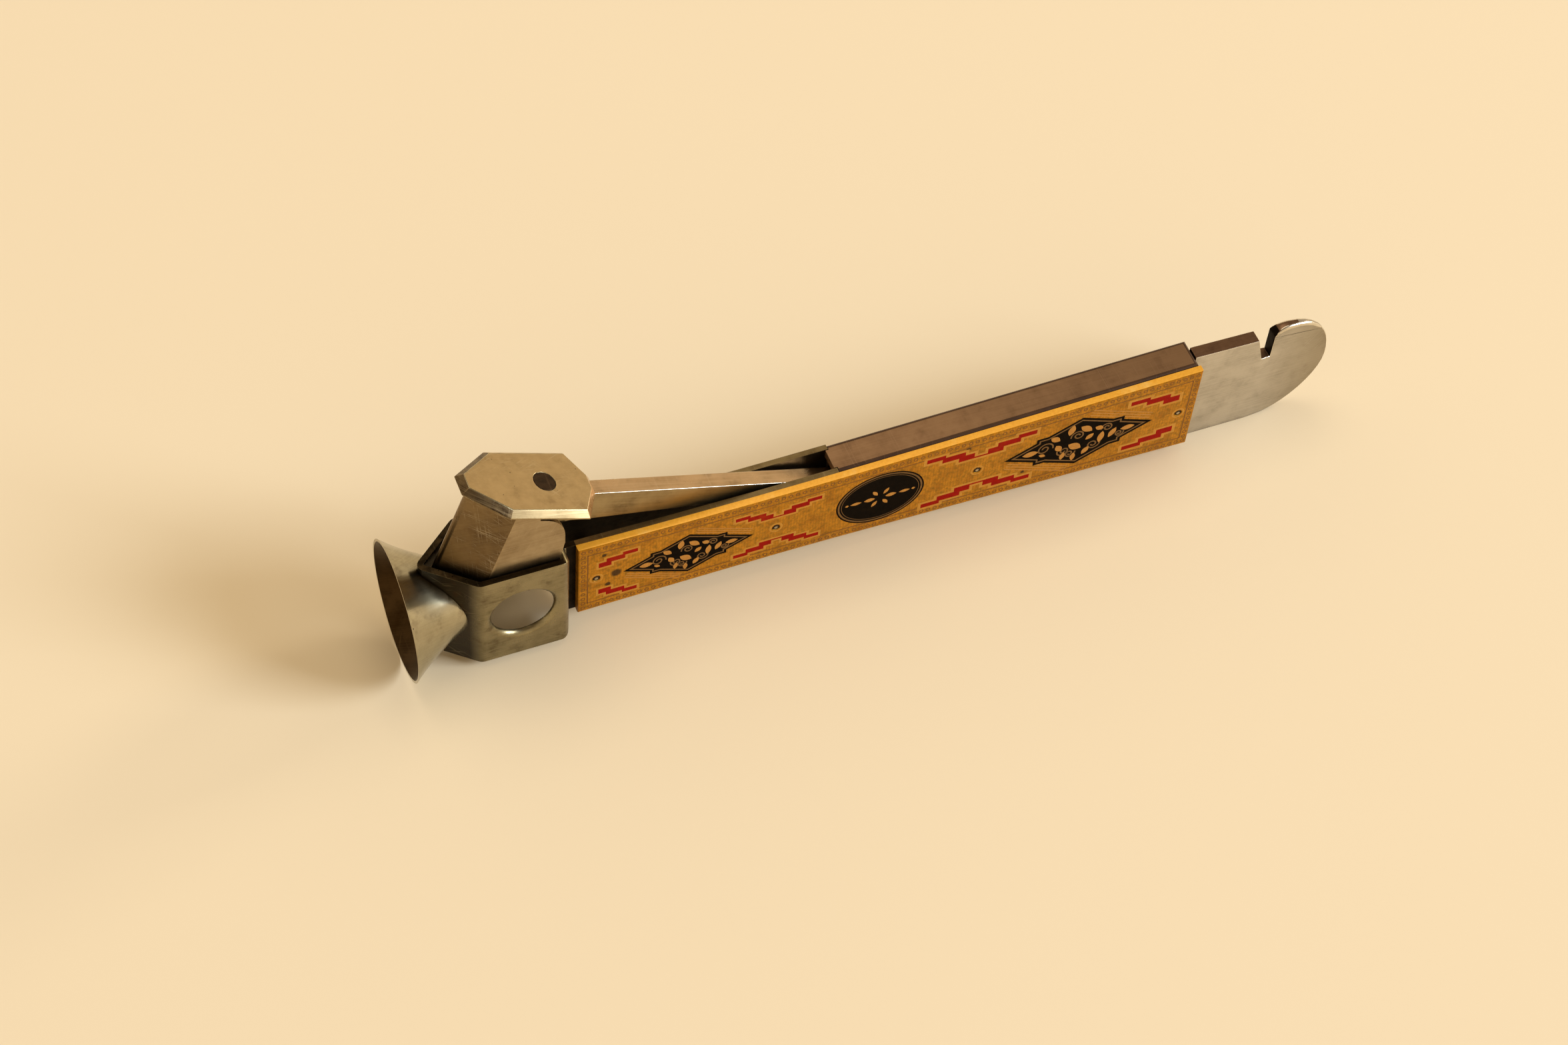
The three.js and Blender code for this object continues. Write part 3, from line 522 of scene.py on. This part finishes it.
# the lever wipes the far arm's inner side
repaint(made["easedHeadBand"], armInside,
        lambda face: face.center.x > armsFrom and face.normal.y < -leans["armSide"] and face.center.y > 0)
# the plating is broken along the head's upper rim, above the side holes
aboveHoles = (sideHole["centre"].z + sideHole["radius"]) * mm
repaint(made["easedHeadBand"], nickelBroken,
        lambda face: face.center.x < armsFrom and face.center.z > aboveHoles
        and face.normal.z > leans["headRim"])
# the tilted thumb plate's bevels: darker in front as painted shade, greyer on the near side, and lighter
# behind as a painted reflection
repaint(made["easedThumbPlate"], nickelShadedBevel,
        lambda face: face.normal.x < -leans["thumbFront"] and face.normal.z > leans["thumbFrontUp"])
repaint(made["easedThumbPlate"], leverSide,
        lambda face: face.normal.x > -leans["thumbFront"] and face.normal.y < -leans["thumbNear"])
# the rear bevels take the lighter lever steel: a painted reflection of the bright warm light they mirror
repaint(made["easedThumbPlate"], leverSteel,
        lambda face: face.normal.x > leans["thumbRear"] and face.normal.z > leans["thumbRearUp"])
repaint(made["easedBlade"], bladeScratched, lambda face: face.normal.x < -leans["bladeFront"])
repaint(made["easedLever"], leverSide, lambda face: abs(face.normal.y) > leans["leverSide"])
repaint(made["easedChannel"], spineSide, lambda face: abs(face.normal.y) > leans["channelSide"])
# the opener's edges are brown up to its polished tip, and the notch's far wall is painted black as painted
# shade
brownTo = 75 * mm
notchFrom = 60 * mm
repaint(made["easedOpener"], brownedEdge,
        lambda face: abs(face.normal.y) < leans["openerSide"] and face.center.x < brownTo)
repaint(made["easedOpener"], shadowBlackSteel,
        lambda face: face.normal.x < -leans["notchWall"] and face.center.x > notchFrom)
# the funnel's inside is what faces its axis
funnelLow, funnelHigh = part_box("funnel")
funnelAxis = Vector((0, 0, (funnelLow.z + funnelHigh.z) / 2))


def facesAxis(face):
    out = face.center - funnelAxis
    out.x = 0
    return face.normal.dot(out.normalized()) < -leans["funnelInside"]


# the inside is painted dark: tobacco stain and painted shade
repaint(made["easedFunnel"], nickelStainedShaded, facesAxis)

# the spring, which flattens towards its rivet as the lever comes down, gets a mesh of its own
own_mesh(made["easedSpring"])

# pieces inside the handle keep the frame's own shapes
for node, material in (("liner", spineSteel), ("pivot_pin", pinSteel), ("stop_pin", pinSteel),
                       ("spring_rivet", pinSteel), ("spacer_bush_1", pinSteel), ("spacer_bush_2", pinSteel)):
    nodes[node].data.materials.clear()
    nodes[node].data.materials.append(material)


# Printed plate: lithographed tinplate with its inks as thin films

printLayout = {
    "face": -4.25, "sunk": 0.02,
    # each place is x, z and the scale along x and z
    "lozenges": [(-35.2, 11.4, 1.0, 1.0), (34.3, 11.75, 1.22, 1.22)],
    "oval": (-1.7, 11.75, 1.0, 1.0),
    "figures": [(-19.8, 11.5, 1.0, 1.0), (16.0, 11.75, 1.32, 1.2)],
    "endFigures": [(-51.5, 11.3, 1.0, 1.02), (53.6, 11.85, -1.4, 1.2)],
    # height of each ink's film over the face
    "border": 0.008, "collars": 0.01, "figure": 0.012, "scrollLines": 0.017, "leafGold": 0.02,
}
faceY = printLayout["face"] * mm

# the inks' fine grain and worn places, with their sizes and the levels between which they set in
inkWear = {"grainSize": 0.5, "grainFrom": (0.35, 0.7), "wornSize": 5, "wornFrom": (0.58, 0.75),
           "dulling": 0.15}


def litho(name, look):
    sockets = {"Metallic": look["metallic"], "Specular IOR Level": look["gloss"]}
    material, tree, shader, at = newMaterial(name, sockets)
    grain = clouds(tree, at, inkWear["grainSize"], inkWear["grainFrom"], 1.0)
    worn = clouds(tree, at, inkWear["wornSize"], inkWear["wornFrom"], look["wear"])
    colour = layCoats(tree, look["ink"], [(grain, look["grain"]), (worn, look["worn"])])
    tree.links.new(colour, shader.inputs["Base Color"])
    dulled = look["roughness"] + inkWear["dulling"]
    polish = addNode(tree, "MapRange", {"To Min": look["roughness"], "To Max": dulled}, {"Value": worn})
    tree.links.new(polish.outputs[0], shader.inputs["Roughness"])
    return material


# Printing inks stoved under thin lacquer: flat colour with little gloss, rubbed thin here
# and there so that the tin shows through
blackInk = litho("lithoInkBlackStoved", {"ink": "#0A0603", "grain": "#130C06", "worn": "#2A1C0C", "wear": 0.4,
                                         "metallic": 0.0, "gloss": 0.015, "roughness": 0.45})
redInk = litho("lithoInkRedStoved", {"ink": "#961004", "grain": "#800C02", "worn": "#A4400E", "wear": 0.3,
                                     "metallic": 0.0, "gloss": 0.04, "roughness": 0.45})
brownInk = litho("lithoInkBrownFine", {"ink": "#7A4C12", "grain": "#6A400E", "worn": "#96661E", "wear": 0.5,
                                       "metallic": 0.0, "gloss": 0.2, "roughness": 0.4})
# Gold inks of bronze powder: a dim line, a pale margin and a warm leaf colour
dimGold = litho("lithoInkGoldDim", {"ink": "#765428", "grain": "#60431E", "worn": "#4A3416", "wear": 0.5,
                                    "metallic": 0.2, "gloss": 0.2, "roughness": 0.4})
paleGold = litho("lithoInkGoldPale", {"ink": "#C48C2C", "grain": "#B27A20", "worn": "#A06A1C", "wear": 0.6,
                                      "metallic": 0.3, "gloss": 0.3, "roughness": 0.36})
leafGold = litho("lithoInkGoldLeaf", {"ink": "#BA8234", "grain": "#A67028", "worn": "#86581E", "wear": 0.6,
                                      "metallic": 0.2, "gloss": 0.3, "roughness": 0.4})
# The plate's turned edges, where the gold lacquer has no print over it, painted bright yellow: the bare
# lacquer's colour together with a painted highlight for the light they catch
flangeGold = litho("lithoTinplateGoldBareHighlit",
                   {"ink": "#F2B23A", "grain": "#E6A02C", "worn": "#F4D078", "wear": 0.6,
                    "metallic": 0.2, "gloss": 0.5, "roughness": 0.3})

goldLook = {
    "base": "#BE7E18", "metallic": 0.3, "gloss": 0.1, "roughness": (0.3, 0.45),
    "bump": 0.2, "bumpDepth": 0.02,
    # engraved lines 0.15 mm apart on the real plate, drawn wider apart so that they show
    "engraved": "#7C520C", "lineSpacing": 0.5, "lineFrom": (-0.2, 1.0), "lineShare": 0.22,
    "brown": "#8E550A", "brownSize": 2.6, "brownFrom": (0.45, 0.7), "brownShare": 0.7,
    "olive": "#745610", "oliveSize": 0.7, "oliveFrom": (0.42, 0.66), "oliveShare": 0.75,
    "rubbedSize": 1.3, "rubbedFrom": (0.3, 0.7),
    # old stains, each x, z and radius, with the part of the radius that is darkest
    "stain": "#2E1E0A", "stainCore": 0.6, "stainShare": 0.9,
    "stains": [(-47.6, 11.7, 1.1), (-49.7, 17.3, 0.5), (-49.0, 9.2, 0.6), (13.5, 18.2, 0.5),
               (24.5, 7.4, 0.4)],
}


# Tinplate under gold lacquer: a warm sheen, engraved all over with fine upright lines and
# clouded olive and brown by handling
def goldGround(look):
    sockets = {"Metallic": look["metallic"], "Specular IOR Level": look["gloss"]}
    material, tree, shader, at = newMaterial("lithoTinplateGoldPrinted", sockets)
    axes = addNode(tree, "SeparateXYZ", {}, {0: at})
    wave = addNode(tree, "Math", {"operation": "MULTIPLY", 1: math.tau / (look["lineSpacing"] * mm)},
                   {0: axes.outputs[0]})
    wave = addNode(tree, "Math", {"operation": "SINE"}, {0: wave.outputs[0]})
    low, high = look["lineFrom"]
    lines = addNode(tree, "MapRange", {"From Min": low, "From Max": high, "To Max": look["lineShare"]},
                    {"Value": wave.outputs[0]})
    browned = clouds(tree, at, look["brownSize"], look["brownFrom"], look["brownShare"])
    olived = clouds(tree, at, look["oliveSize"], look["oliveFrom"], look["oliveShare"])
    coats = [(browned, look["brown"]), (lines.outputs[0], look["engraved"]), (olived, look["olive"])]
    for x, z, radius in look["stains"]:
        away = addNode(tree, "VectorMath", {"operation": "DISTANCE", 1: (x * mm, faceY, z * mm)}, {0: at})
        core = radius * look["stainCore"]
        spot = addNode(tree, "MapRange", {"From Min": core * mm, "From Max": radius * mm,
                                          "To Min": look["stainShare"], "To Max": 0.0},
                       {"Value": away.outputs["Value"]})
        coats.append((spot.outputs[0], look["stain"]))
    tree.links.new(layCoats(tree, look["base"], coats), shader.inputs["Base Color"])
    rubbed = clouds(tree, at, look["rubbedSize"], look["rubbedFrom"], 1.0)
    smooth, rough = look["roughness"]
    polish = addNode(tree, "MapRange", {"To Min": smooth, "To Max": rough}, {"Value": rubbed})
    tree.links.new(polish.outputs[0], shader.inputs["Roughness"])
    bump = addNode(tree, "Bump", {"Strength": look["bump"], "Distance": look["bumpDepth"] * mm},
                   {"Height": wave.outputs[0]})
    tree.links.new(bump.outputs[0], shader.inputs["Normal"])
    return material


plate = easedCopy("lithoPlate", {
    "node": "printed_plate", "body": "body", "slot": "printed_metal", "edge": 0.08, "segments": 2,
    "face": goldGround(goldLook), "rim": paleGold,
})
# the flanges take the brighter gold: bare lacquer and painted highlight
repaint(plate, flangeGold, lambda face: abs(face.normal.z) > leans["plateFlange"])


# A flat film, from a circle whose points are moved to an outline
def flatFilm(outline, *inks):
    bpy.ops.object.select_all(action="DESELECT")
    bpy.ops.mesh.primitive_circle_add(vertices=len(outline), radius=mm, fill_type="NGON")
    film = bpy.context.object
    for vertex, (x, z) in zip(film.data.vertices, outline):
        vertex.co = (x * mm, 0, z * mm)
    for ink in inks:
        film.data.materials.append(ink)
    return film


# Each width is inset, and what is left inside takes the ink of that number
def insetInks(film, widths):
    only(film)
    bpy.ops.object.mode_set(mode="EDIT")
    bpy.ops.mesh.select_all(action="SELECT")
    for width, inkIndex in widths:
        bpy.ops.mesh.inset(thickness=width * mm)
        film.active_material_index = inkIndex
        bpy.ops.object.material_slot_assign()
    bpy.ops.object.mode_set(mode="OBJECT")


# One ink: each film is copied to its places, and all are joined and pressed into the plate;
# a place is x, z, scale along x and z, and turn
def pressInk(name, height, films):
    copies = []
    for film, places in films:
        for x, z, scaleX, scaleZ, turn in places:
            copy = film.copy()
            copy.data = film.data.copy()
            bpy.context.scene.collection.objects.link(copy)
            copy.scale = (scaleX, 1, scaleZ)
            copy.rotation_euler = (0, -math.radians(turn), 0)
            copy.location = (x * mm, faceY - height * mm, z * mm)
            copies.append(copy)
        bpy.data.objects.remove(film)
    bpy.ops.object.select_all(action="DESELECT")
    for copy in copies:
        copy.select_set(True)
    bpy.context.view_layer.objects.active = copies[0]
    bpy.ops.object.transform_apply(location=True, rotation=True, scale=True)
    bpy.ops.object.join()
    piece = bpy.context.object
    piece.name = name
    bpy.ops.object.mode_set(mode="EDIT")
    bpy.ops.mesh.select_all(action="SELECT")
    depth = (height + printLayout["sunk"]) * mm
    bpy.ops.mesh.extrude_region_move(TRANSFORM_OT_translate={"value": (0, depth, 0)})
    bpy.ops.mesh.select_all(action="SELECT")
    bpy.ops.mesh.normals_make_consistent(inside=False)
    bpy.ops.object.mode_set(mode="OBJECT")
    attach(piece, "body")
    print(name, len(piece.data.polygons), "faces")


def roundOutline(points, halfX, halfZ):
    turns = [math.tau * i / points for i in range(points)]
    return [(math.cos(turn) * halfX, math.sin(turn) * halfZ) for turn in turns]


# Red stepped figures: three treads to an arm, each from x to x and z to z off the centre,
# drawn round their pale margin and inset to the red
treads = {"steps": [(0.9, 3.05, 2.9, 4.1), (2.2, 5.35, 3.75, 4.85), (4.95, 7.5, 4.55, 5.4)],
          "margin": 0.42, "link": 0.3}
grow = treads["margin"]
starts, ends, lows, highs = zip(*treads["steps"])
outward = [(end + grow, low - grow) for number, end in enumerate(ends) for low in lows[number:number + 2]]
back = [(start - grow, high + grow) for number, start in enumerate(starts)
        for high in highs[max(0, number - 1):number + 1]]
arm = outward + [(ends[-1] + grow, highs[-1] + grow)] + back[::-1]
halfVee = arm + [(starts[0] - grow, lows[0] + treads["link"] + grow)]
vee = flatFilm(halfVee + [(-x, z) for x, z in reversed(halfVee)], paleGold, redInk)
oneArm = flatFilm(arm + [(starts[0] - grow, lows[0] - grow)], paleGold, redInk)
figures = []
for film, key in ((vee, "figures"), (oneArm, "endFigures")):
    insetInks(film, [(grow, 1)])
    # each figure stands above its mirror image
    places = [(x, z, scaleX, scaleZ * side, 0) for x, z, scaleX, scaleZ in printLayout[key]
              for side in (1, -1)]
    figures.append((film, places))
pressInk("steppedFigures", printLayout["figure"], figures)

# Black lozenges with a step on each side and a dim gold line inside
lozenge = {"half": (11.2, 5.05), "stepAt": 6.6, "stepRise": 0.75, "lineIn": 0.4, "lineWidth": 0.24}
halfX, halfZ = lozenge["half"]
stepX = lozenge["stepAt"]
stepLow = halfZ * (1 - stepX / halfX)
stepHigh = stepLow + lozenge["stepRise"]
quarter = [(halfX, 0), (stepX, stepLow), (stepX, stepHigh), (halfX * (1 - stepHigh / halfZ), stepHigh)]
upper = quarter + [(0, halfZ)] + [(-x, z) for x, z in reversed(quarter)]
film = flatFilm(upper + [(x, -z) for x, z in reversed(upper[1:-1])], blackInk, dimGold)
insetInks(film, [(lozenge["lineIn"], 1), (lozenge["lineWidth"], 0)])
pressInk("blackLozenges", printLayout["figure"], [(film, [(*place, 0) for place in printLayout["lozenges"]])])

# Pale lines beside two edges of each lozenge
hatch = {"lines": 3, "first": 0.5, "spacing": 0.5, "length": 10.5, "width": 0.2}
edgeTurn = math.degrees(math.atan2(-halfZ, halfX))
slant = math.hypot(halfX, halfZ)
places = []
for x, z, scaleX, scaleZ in printLayout["lozenges"]:
    for number in range(hatch["lines"]):
        away = hatch["first"] + number * hatch["spacing"]
        outX = halfX / 2 + away * halfZ / slant
        outZ = halfZ / 2 + away * halfX / slant
        places += [(x + side * outX * scaleX, z + side * outZ * scaleZ, scaleX, scaleZ, edgeTurn)
                   for side in (1, -1)]
halfLength, halfWidth = hatch["length"] / 2, hatch["width"] / 2
film = flatFilm([(halfLength, halfWidth), (-halfLength, halfWidth), (-halfLength, -halfWidth),
                 (halfLength, -halfWidth)], leafGold)
pressInk("hatchLines", printLayout["collars"], [(film, places)])

# Black oval with a wide and a fine dim gold ring inside its edge
oval = {"half": (7.8, 6.25), "points": 72, "rings": [(0.28, 1), (0.3, 0), (0.3, 1), (0.1, 0)]}
film = flatFilm(roundOutline(oval["points"], *oval["half"]), blackInk, dimGold)
insetInks(film, oval["rings"])
pressInk("blackOval", printLayout["figure"], [(film, [(*printLayout["oval"], 0)])])

# Gold leaves on the black, each x, z, length, width and turn off the centre: a branching
# spray in the lozenges and a plain rosette in the oval
lozengeLeaves = [
    (-7.3, 0.0, 2.4, 1.15, 0), (7.4, 0.0, 2.2, 1.0, 0), (-3.7, 1.75, 1.9, 1.05, -38),
    (-1.4, 2.8, 2.2, 1.1, 78), (0.9, 2.3, 2.4, 1.15, -40), (2.9, 1.7, 1.5, 0.9, -30),
    (-3.0, -0.5, 1.7, 1.0, -60), (-0.5, -1.0, 2.5, 1.35, -35), (1.6, 0.3, 1.5, 0.9, 40),
    (3.4, -0.5, 2.4, 1.0, 82), (5.1, -0.2, 2.1, 1.0, 62), (-2.2, -2.5, 1.6, 0.8, 78),
    (-0.5, -3.3, 1.7, 0.8, 88), (1.3, -2.6, 1.7, 0.95, 58), (-5.4, -1.1, 1.2, 0.6, -30),
]
# the rosette's row along the oval, each x, length and width, and its four slanting petals
rosette = {"row": [(1.9, 2.0, 0.9), (4.3, 2.0, 0.7), (5.9, 0.7, 0.5)],
           "petalAt": 1.7, "petalSize": (1.6, 0.7), "petalTurns": (55, 125, 235, 305)}
ovalLeaves = [(side * x, 0, length, width, 0) for side in (1, -1) for x, length, width in rosette["row"]]
for turn in rosette["petalTurns"]:
    angle = math.radians(turn)
    ovalLeaves.append((math.cos(angle) * rosette["petalAt"], math.sin(angle) * rosette["petalAt"],
                       *rosette["petalSize"], turn))
leafPoints = 8
steps = [-1 + 2 * i / (leafPoints - 1) for i in range(leafPoints)]
films = []
for leafList, spots in ((lozengeLeaves, printLayout["lozenges"]), (ovalLeaves, [printLayout["oval"]])):
    for x, z, length, width, turn in leafList:
        rounded = [(step * length / 2, width / 2 * (1 - step * step)) for step in steps]
        leaf = flatFilm(rounded + [(px, -pz) for px, pz in reversed(rounded[1:-1])], leafGold)
        films.append((leaf, [(spotX + x * scaleX, spotZ + z * scaleZ, scaleX, scaleZ, turn)
                             for spotX, spotZ, scaleX, scaleZ in spots]))
pressInk("goldLeaves", printLayout["leafGold"], films)

# Curled stems between the leaves: half circles of shrinking radius, spun from a small
# square; each stem is x, z, radius and which way it faces along x and z
stemLine = {"width": 0.24, "shares": (1.0, 0.66, 0.4), "steps": 10}
stems = [(-5.0, 0.1, 1.1, 1, 1), (-0.4, 1.1, 0.9, -1, 1), (2.5, -1.5, 0.9, 1, -1), (-2.3, -1.3, 0.8, -1, -1),
         (4.0, 1.2, 0.8, -1, 1), (6.3, -0.6, 0.6, 1, -1), (-1.0, -2.2, 0.7, 1, -1)]
half = stemLine["width"] / 2
films = []
for x, z, radius, flipX, flipZ in stems:
    stem = flatFilm([(radius + half, half), (radius - half, half), (radius - half, -half),
                     (radius + half, -half)], dimGold)
    only(stem)
    stem.data.polygons[0].select = False
    for vertex in stem.data.vertices:
        vertex.select = vertex.co.z > 0
    for edge in stem.data.edges:
        edge.select = all(stem.data.vertices[index].co.z > 0 for index in edge.vertices)
    bpy.ops.object.mode_set(mode="EDIT")
    end, side = radius, -1
    for share in stemLine["shares"]:
        centre = end + side * radius * share
        bpy.ops.mesh.spin(steps=stemLine["steps"], angle=math.pi, center=(centre * mm, 0, half * mm),
                          axis=(0, 1, 0))
        end = centre + side * radius * share
        side = -side
    bpy.ops.object.mode_set(mode="OBJECT")
    films.append((stem, [(spotX + x * scaleX, spotZ + z * scaleZ, scaleX * flipX, scaleZ * flipZ, 0)
                         for spotX, spotZ, scaleX, scaleZ in printLayout["lozenges"]]))
pressInk("goldStems", printLayout["scrollLines"], films)

# Border of small rings along all four edges, a fine rule inside it and a collar at each pin
border = {"ringPoints": 10, "ringRadius": 0.42, "ringWall": 0.17, "ringSpacing": 1.22, "ringEnd": 0.85,
          "ringIn": 0.65, "ruleIn": 1.6, "ruleWidth": 0.22, "ruleSteps": 40,
          "collarPoints": 24, "collarRadius": 1.2, "collarWall": 0.35}
plateLow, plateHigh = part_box("printed_plate")
left, right = plateLow.x / mm, plateHigh.x / mm
plateMiddle = (plateLow.z + plateHigh.z) / 2
# corners of the plate's face along its two long edges, this far and more off its middle
offMiddle = 5
edgeLine = sorted((v.co.x, v.co.z) for v in nodes["printed_plate"].data.vertices
                  if v.co.y < faceY + touch * mm and abs(v.co.z - plateMiddle) > offMiddle * mm)


# height of the plate's bowed edge at x
def edgeHeight(x, isUpper):
    line = [(px / mm, pz / mm) for px, pz in edgeLine if (pz > plateMiddle) == isUpper]
    for (x0, z0), (x1, z1) in zip(line, line[1:]):
        if x0 <= x <= x1 and x1 > x0:
            return z0 + (z1 - z0) * (x - x0) / (x1 - x0)
    return line[0][1] if x < line[0][0] else line[-1][1]


def ringFilm(points, radius, wall, ink):
    ring = flatFilm(roundOutline(points, radius, radius), ink)
    insetInks(ring, [(wall, 0)])
    bpy.ops.object.mode_set(mode="EDIT")
    bpy.ops.mesh.delete(type="FACE")
    bpy.ops.object.mode_set(mode="OBJECT")
    return ring


first, last = left + border["ringEnd"], right - border["ringEnd"]
places = []
count = round((last - first) / border["ringSpacing"])
for number in range(count + 1):
    x = first + (last - first) * number / count
    places.append((x, edgeHeight(x, True) - border["ringIn"], 1, 1, 0))
    places.append((x, edgeHeight(x, False) + border["ringIn"], 1, 1, 0))
for x in (first, last):
    low = edgeHeight(x, False) + border["ringIn"]
    high = edgeHeight(x, True) - border["ringIn"]
    count = round((high - low) / border["ringSpacing"])
    places += [(x, low + (high - low) * number / count, 1, 1, 0) for number in range(1, count)]
ring = ringFilm(border["ringPoints"], border["ringRadius"], border["ringWall"], brownInk)
pressInk("borderRings", printLayout["border"], [(ring, places)])

first, last = left + border["ruleIn"], right - border["ruleIn"]
films = []
for isUpper, toward in ((True, -1), (False, 1)):
    bpy.ops.object.select_all(action="DESELECT")
    bpy.ops.mesh.primitive_grid_add(x_subdivisions=border["ruleSteps"], y_subdivisions=1, size=1)
    rule = bpy.context.object
    rule.data.materials.append(brownInk)
    for vertex in rule.data.vertices:
        x = first + (vertex.co.x + 0.5) * (last - first)
        inward = border["ruleIn"] + (border["ruleWidth"] if vertex.co.y > 0 else 0)
        vertex.co = (x * mm, 0, (edgeHeight(x, isUpper) + toward * inward) * mm)
    films.append((rule, [(0, 0, 1, 1, 0)]))
for x in (first, last):
    low = edgeHeight(x, False) + border["ruleIn"]
    high = edgeHeight(x, True) - border["ruleIn"]
    half = border["ruleWidth"] / 2
    upright = flatFilm([(-half, low), (half, low), (half, high), (-half, high)], brownInk)
    films.append((upright, [(x, 0, 1, 1, 0)]))
pressInk("borderRules", printLayout["border"], films)

pins = [f"handle_pin_{number}" for number in (1, 2, 3, 4)]
places = []
for pin in pins:
    low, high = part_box(pin)
    places.append(((low.x + high.x) / 2 / mm, (low.z + high.z) / 2 / mm, 1, 1, 0))
collar = ringFilm(border["collarPoints"], border["collarRadius"], border["collarWall"], paleGold)
pressInk("pinCollars", printLayout["collars"], [(collar, places)])

# Pins with a dished bright centre inside a dark ring
dish = {"ring": 0.16, "slope": 0.1, "depth": 0.06, "endWithin": 0.02}
for number, pin in enumerate(pins, 1):
    piece = easedCopy(f"rivetedPin{number}", {
        "node": pin, "body": "body", "slot": "pin_steel", "edge": 0.04, "segments": 2,
        "face": darkSteel, "rim": darkSteel,
    })
    piece.data.materials.append(pinSteel)
    low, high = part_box(pin)
    bpy.ops.object.mode_set(mode="EDIT")
    bpy.ops.mesh.select_all(action="DESELECT")
    bpy.ops.object.mode_set(mode="OBJECT")
    for face in piece.data.polygons:
        atEnd = min(face.center.y - low.y, high.y - face.center.y) < dish["endWithin"] * mm
        face.select = atEnd and abs(face.normal.y) > leans["pinEnd"]
    bpy.ops.object.mode_set(mode="EDIT")
    bpy.ops.mesh.inset(thickness=dish["ring"] * mm)
    piece.active_material_index = len(piece.data.materials) - 1
    bpy.ops.object.material_slot_assign()
    bpy.ops.mesh.inset(thickness=dish["slope"] * mm, depth=-dish["depth"] * mm)
    bpy.ops.object.mode_set(mode="OBJECT")


# Floor, light and camera

# the floor's size is in metres, the camera's turn in degrees
stage = {
    "floor": "#F2E2C2", "floorSize": 3.0, "floorDrop": 0.02,
    "horizon": "#FAE2BE", "overhead": "#7E694E",
    # how dark the room is at each height over the horizon
    "darkening": [(0.0, 0.0), (0.45, 0.25), (0.78, 1.0)],
    "cameraPlace": (-154.76, -280.37, 425.74), "cameraTurn": (36.535, -3.389, -21.669), "lens": 72.946,
}
# each lamp's azimuth and elevation in degrees, distance and size in metres, watts and colour
lamps = {
    "windowLight": ((-31, 29), 5.5, (2.1, 2.1), 262, "#EAF3FF"),
    "sideWindow": ((12, 18), 6.0, (1.5, 1.5), 81, "#FFF3E2"),
    "ceilingFill": ((100, 76), 2.0, (1.4, 1.4), 11, "#FFF2DC"),
}

bpy.ops.object.select_all(action="DESELECT")
bpy.ops.mesh.primitive_plane_add(size=stage["floorSize"], location=(0, 0, -stage["floorDrop"] * mm))
floor = bpy.context.object
floor.name = "paleFloor"
# Board under a flat pale paint: no gloss
flatPaint = {"Roughness": 0.9, "Specular IOR Level": 0.05, "Base Color": linear(stage["floor"])}
floor.data.materials.append(newMaterial("boardPaintedPale", flatPaint)[0])

for lampName, (toward, distance, size, watts, colour) in lamps.items():
    lamp = bpy.data.lights.new(lampName, "AREA")
    lamp.shape = "RECTANGLE"
    lamp.size, lamp.size_y = size
    lamp.energy = watts
    lamp.color = linear(colour)[:3]
    piece = bpy.data.objects.new(lampName, lamp)
    bpy.context.scene.collection.objects.link(piece)
    azimuth, elevation = (math.radians(angle) for angle in toward)
    out = Vector((math.cos(azimuth) * math.cos(elevation), math.sin(azimuth) * math.cos(elevation),
                  math.sin(elevation)))
    piece.location = out * distance
    piece.rotation_euler = out.to_track_quat("Z", "Y").to_euler()

world = bpy.data.worlds.new("warmRoom")
bpy.context.scene.world = world
world.use_nodes = True
tree = world.node_tree
direction = addNode(tree, "TexCoord").outputs["Generated"]
split = addNode(tree, "SeparateXYZ", {}, {0: direction})
height = addNode(tree, "ValToRGB", {"stops": stage["darkening"]}, {"Fac": split.outputs[2]})
sky = layCoats(tree, stage["horizon"], [(height.outputs[0], stage["overhead"])])
tree.links.new(sky, tree.nodes["Background"].inputs["Color"])

camera = bpy.data.cameras.new("photoCamera")
camera.lens = stage["lens"]
camera.sensor_width = 36.0
camera.clip_start = 0.01
view = bpy.data.objects.new("photoCamera", camera)
bpy.context.scene.collection.objects.link(view)
view.location = [value * mm for value in stage["cameraPlace"]]
view.rotation_euler = [math.radians(angle) for angle in stage["cameraTurn"]]
bpy.context.scene.camera = view
bpy.context.scene.view_settings.view_transform = "Standard"
print("stage: floor, lamps and camera")
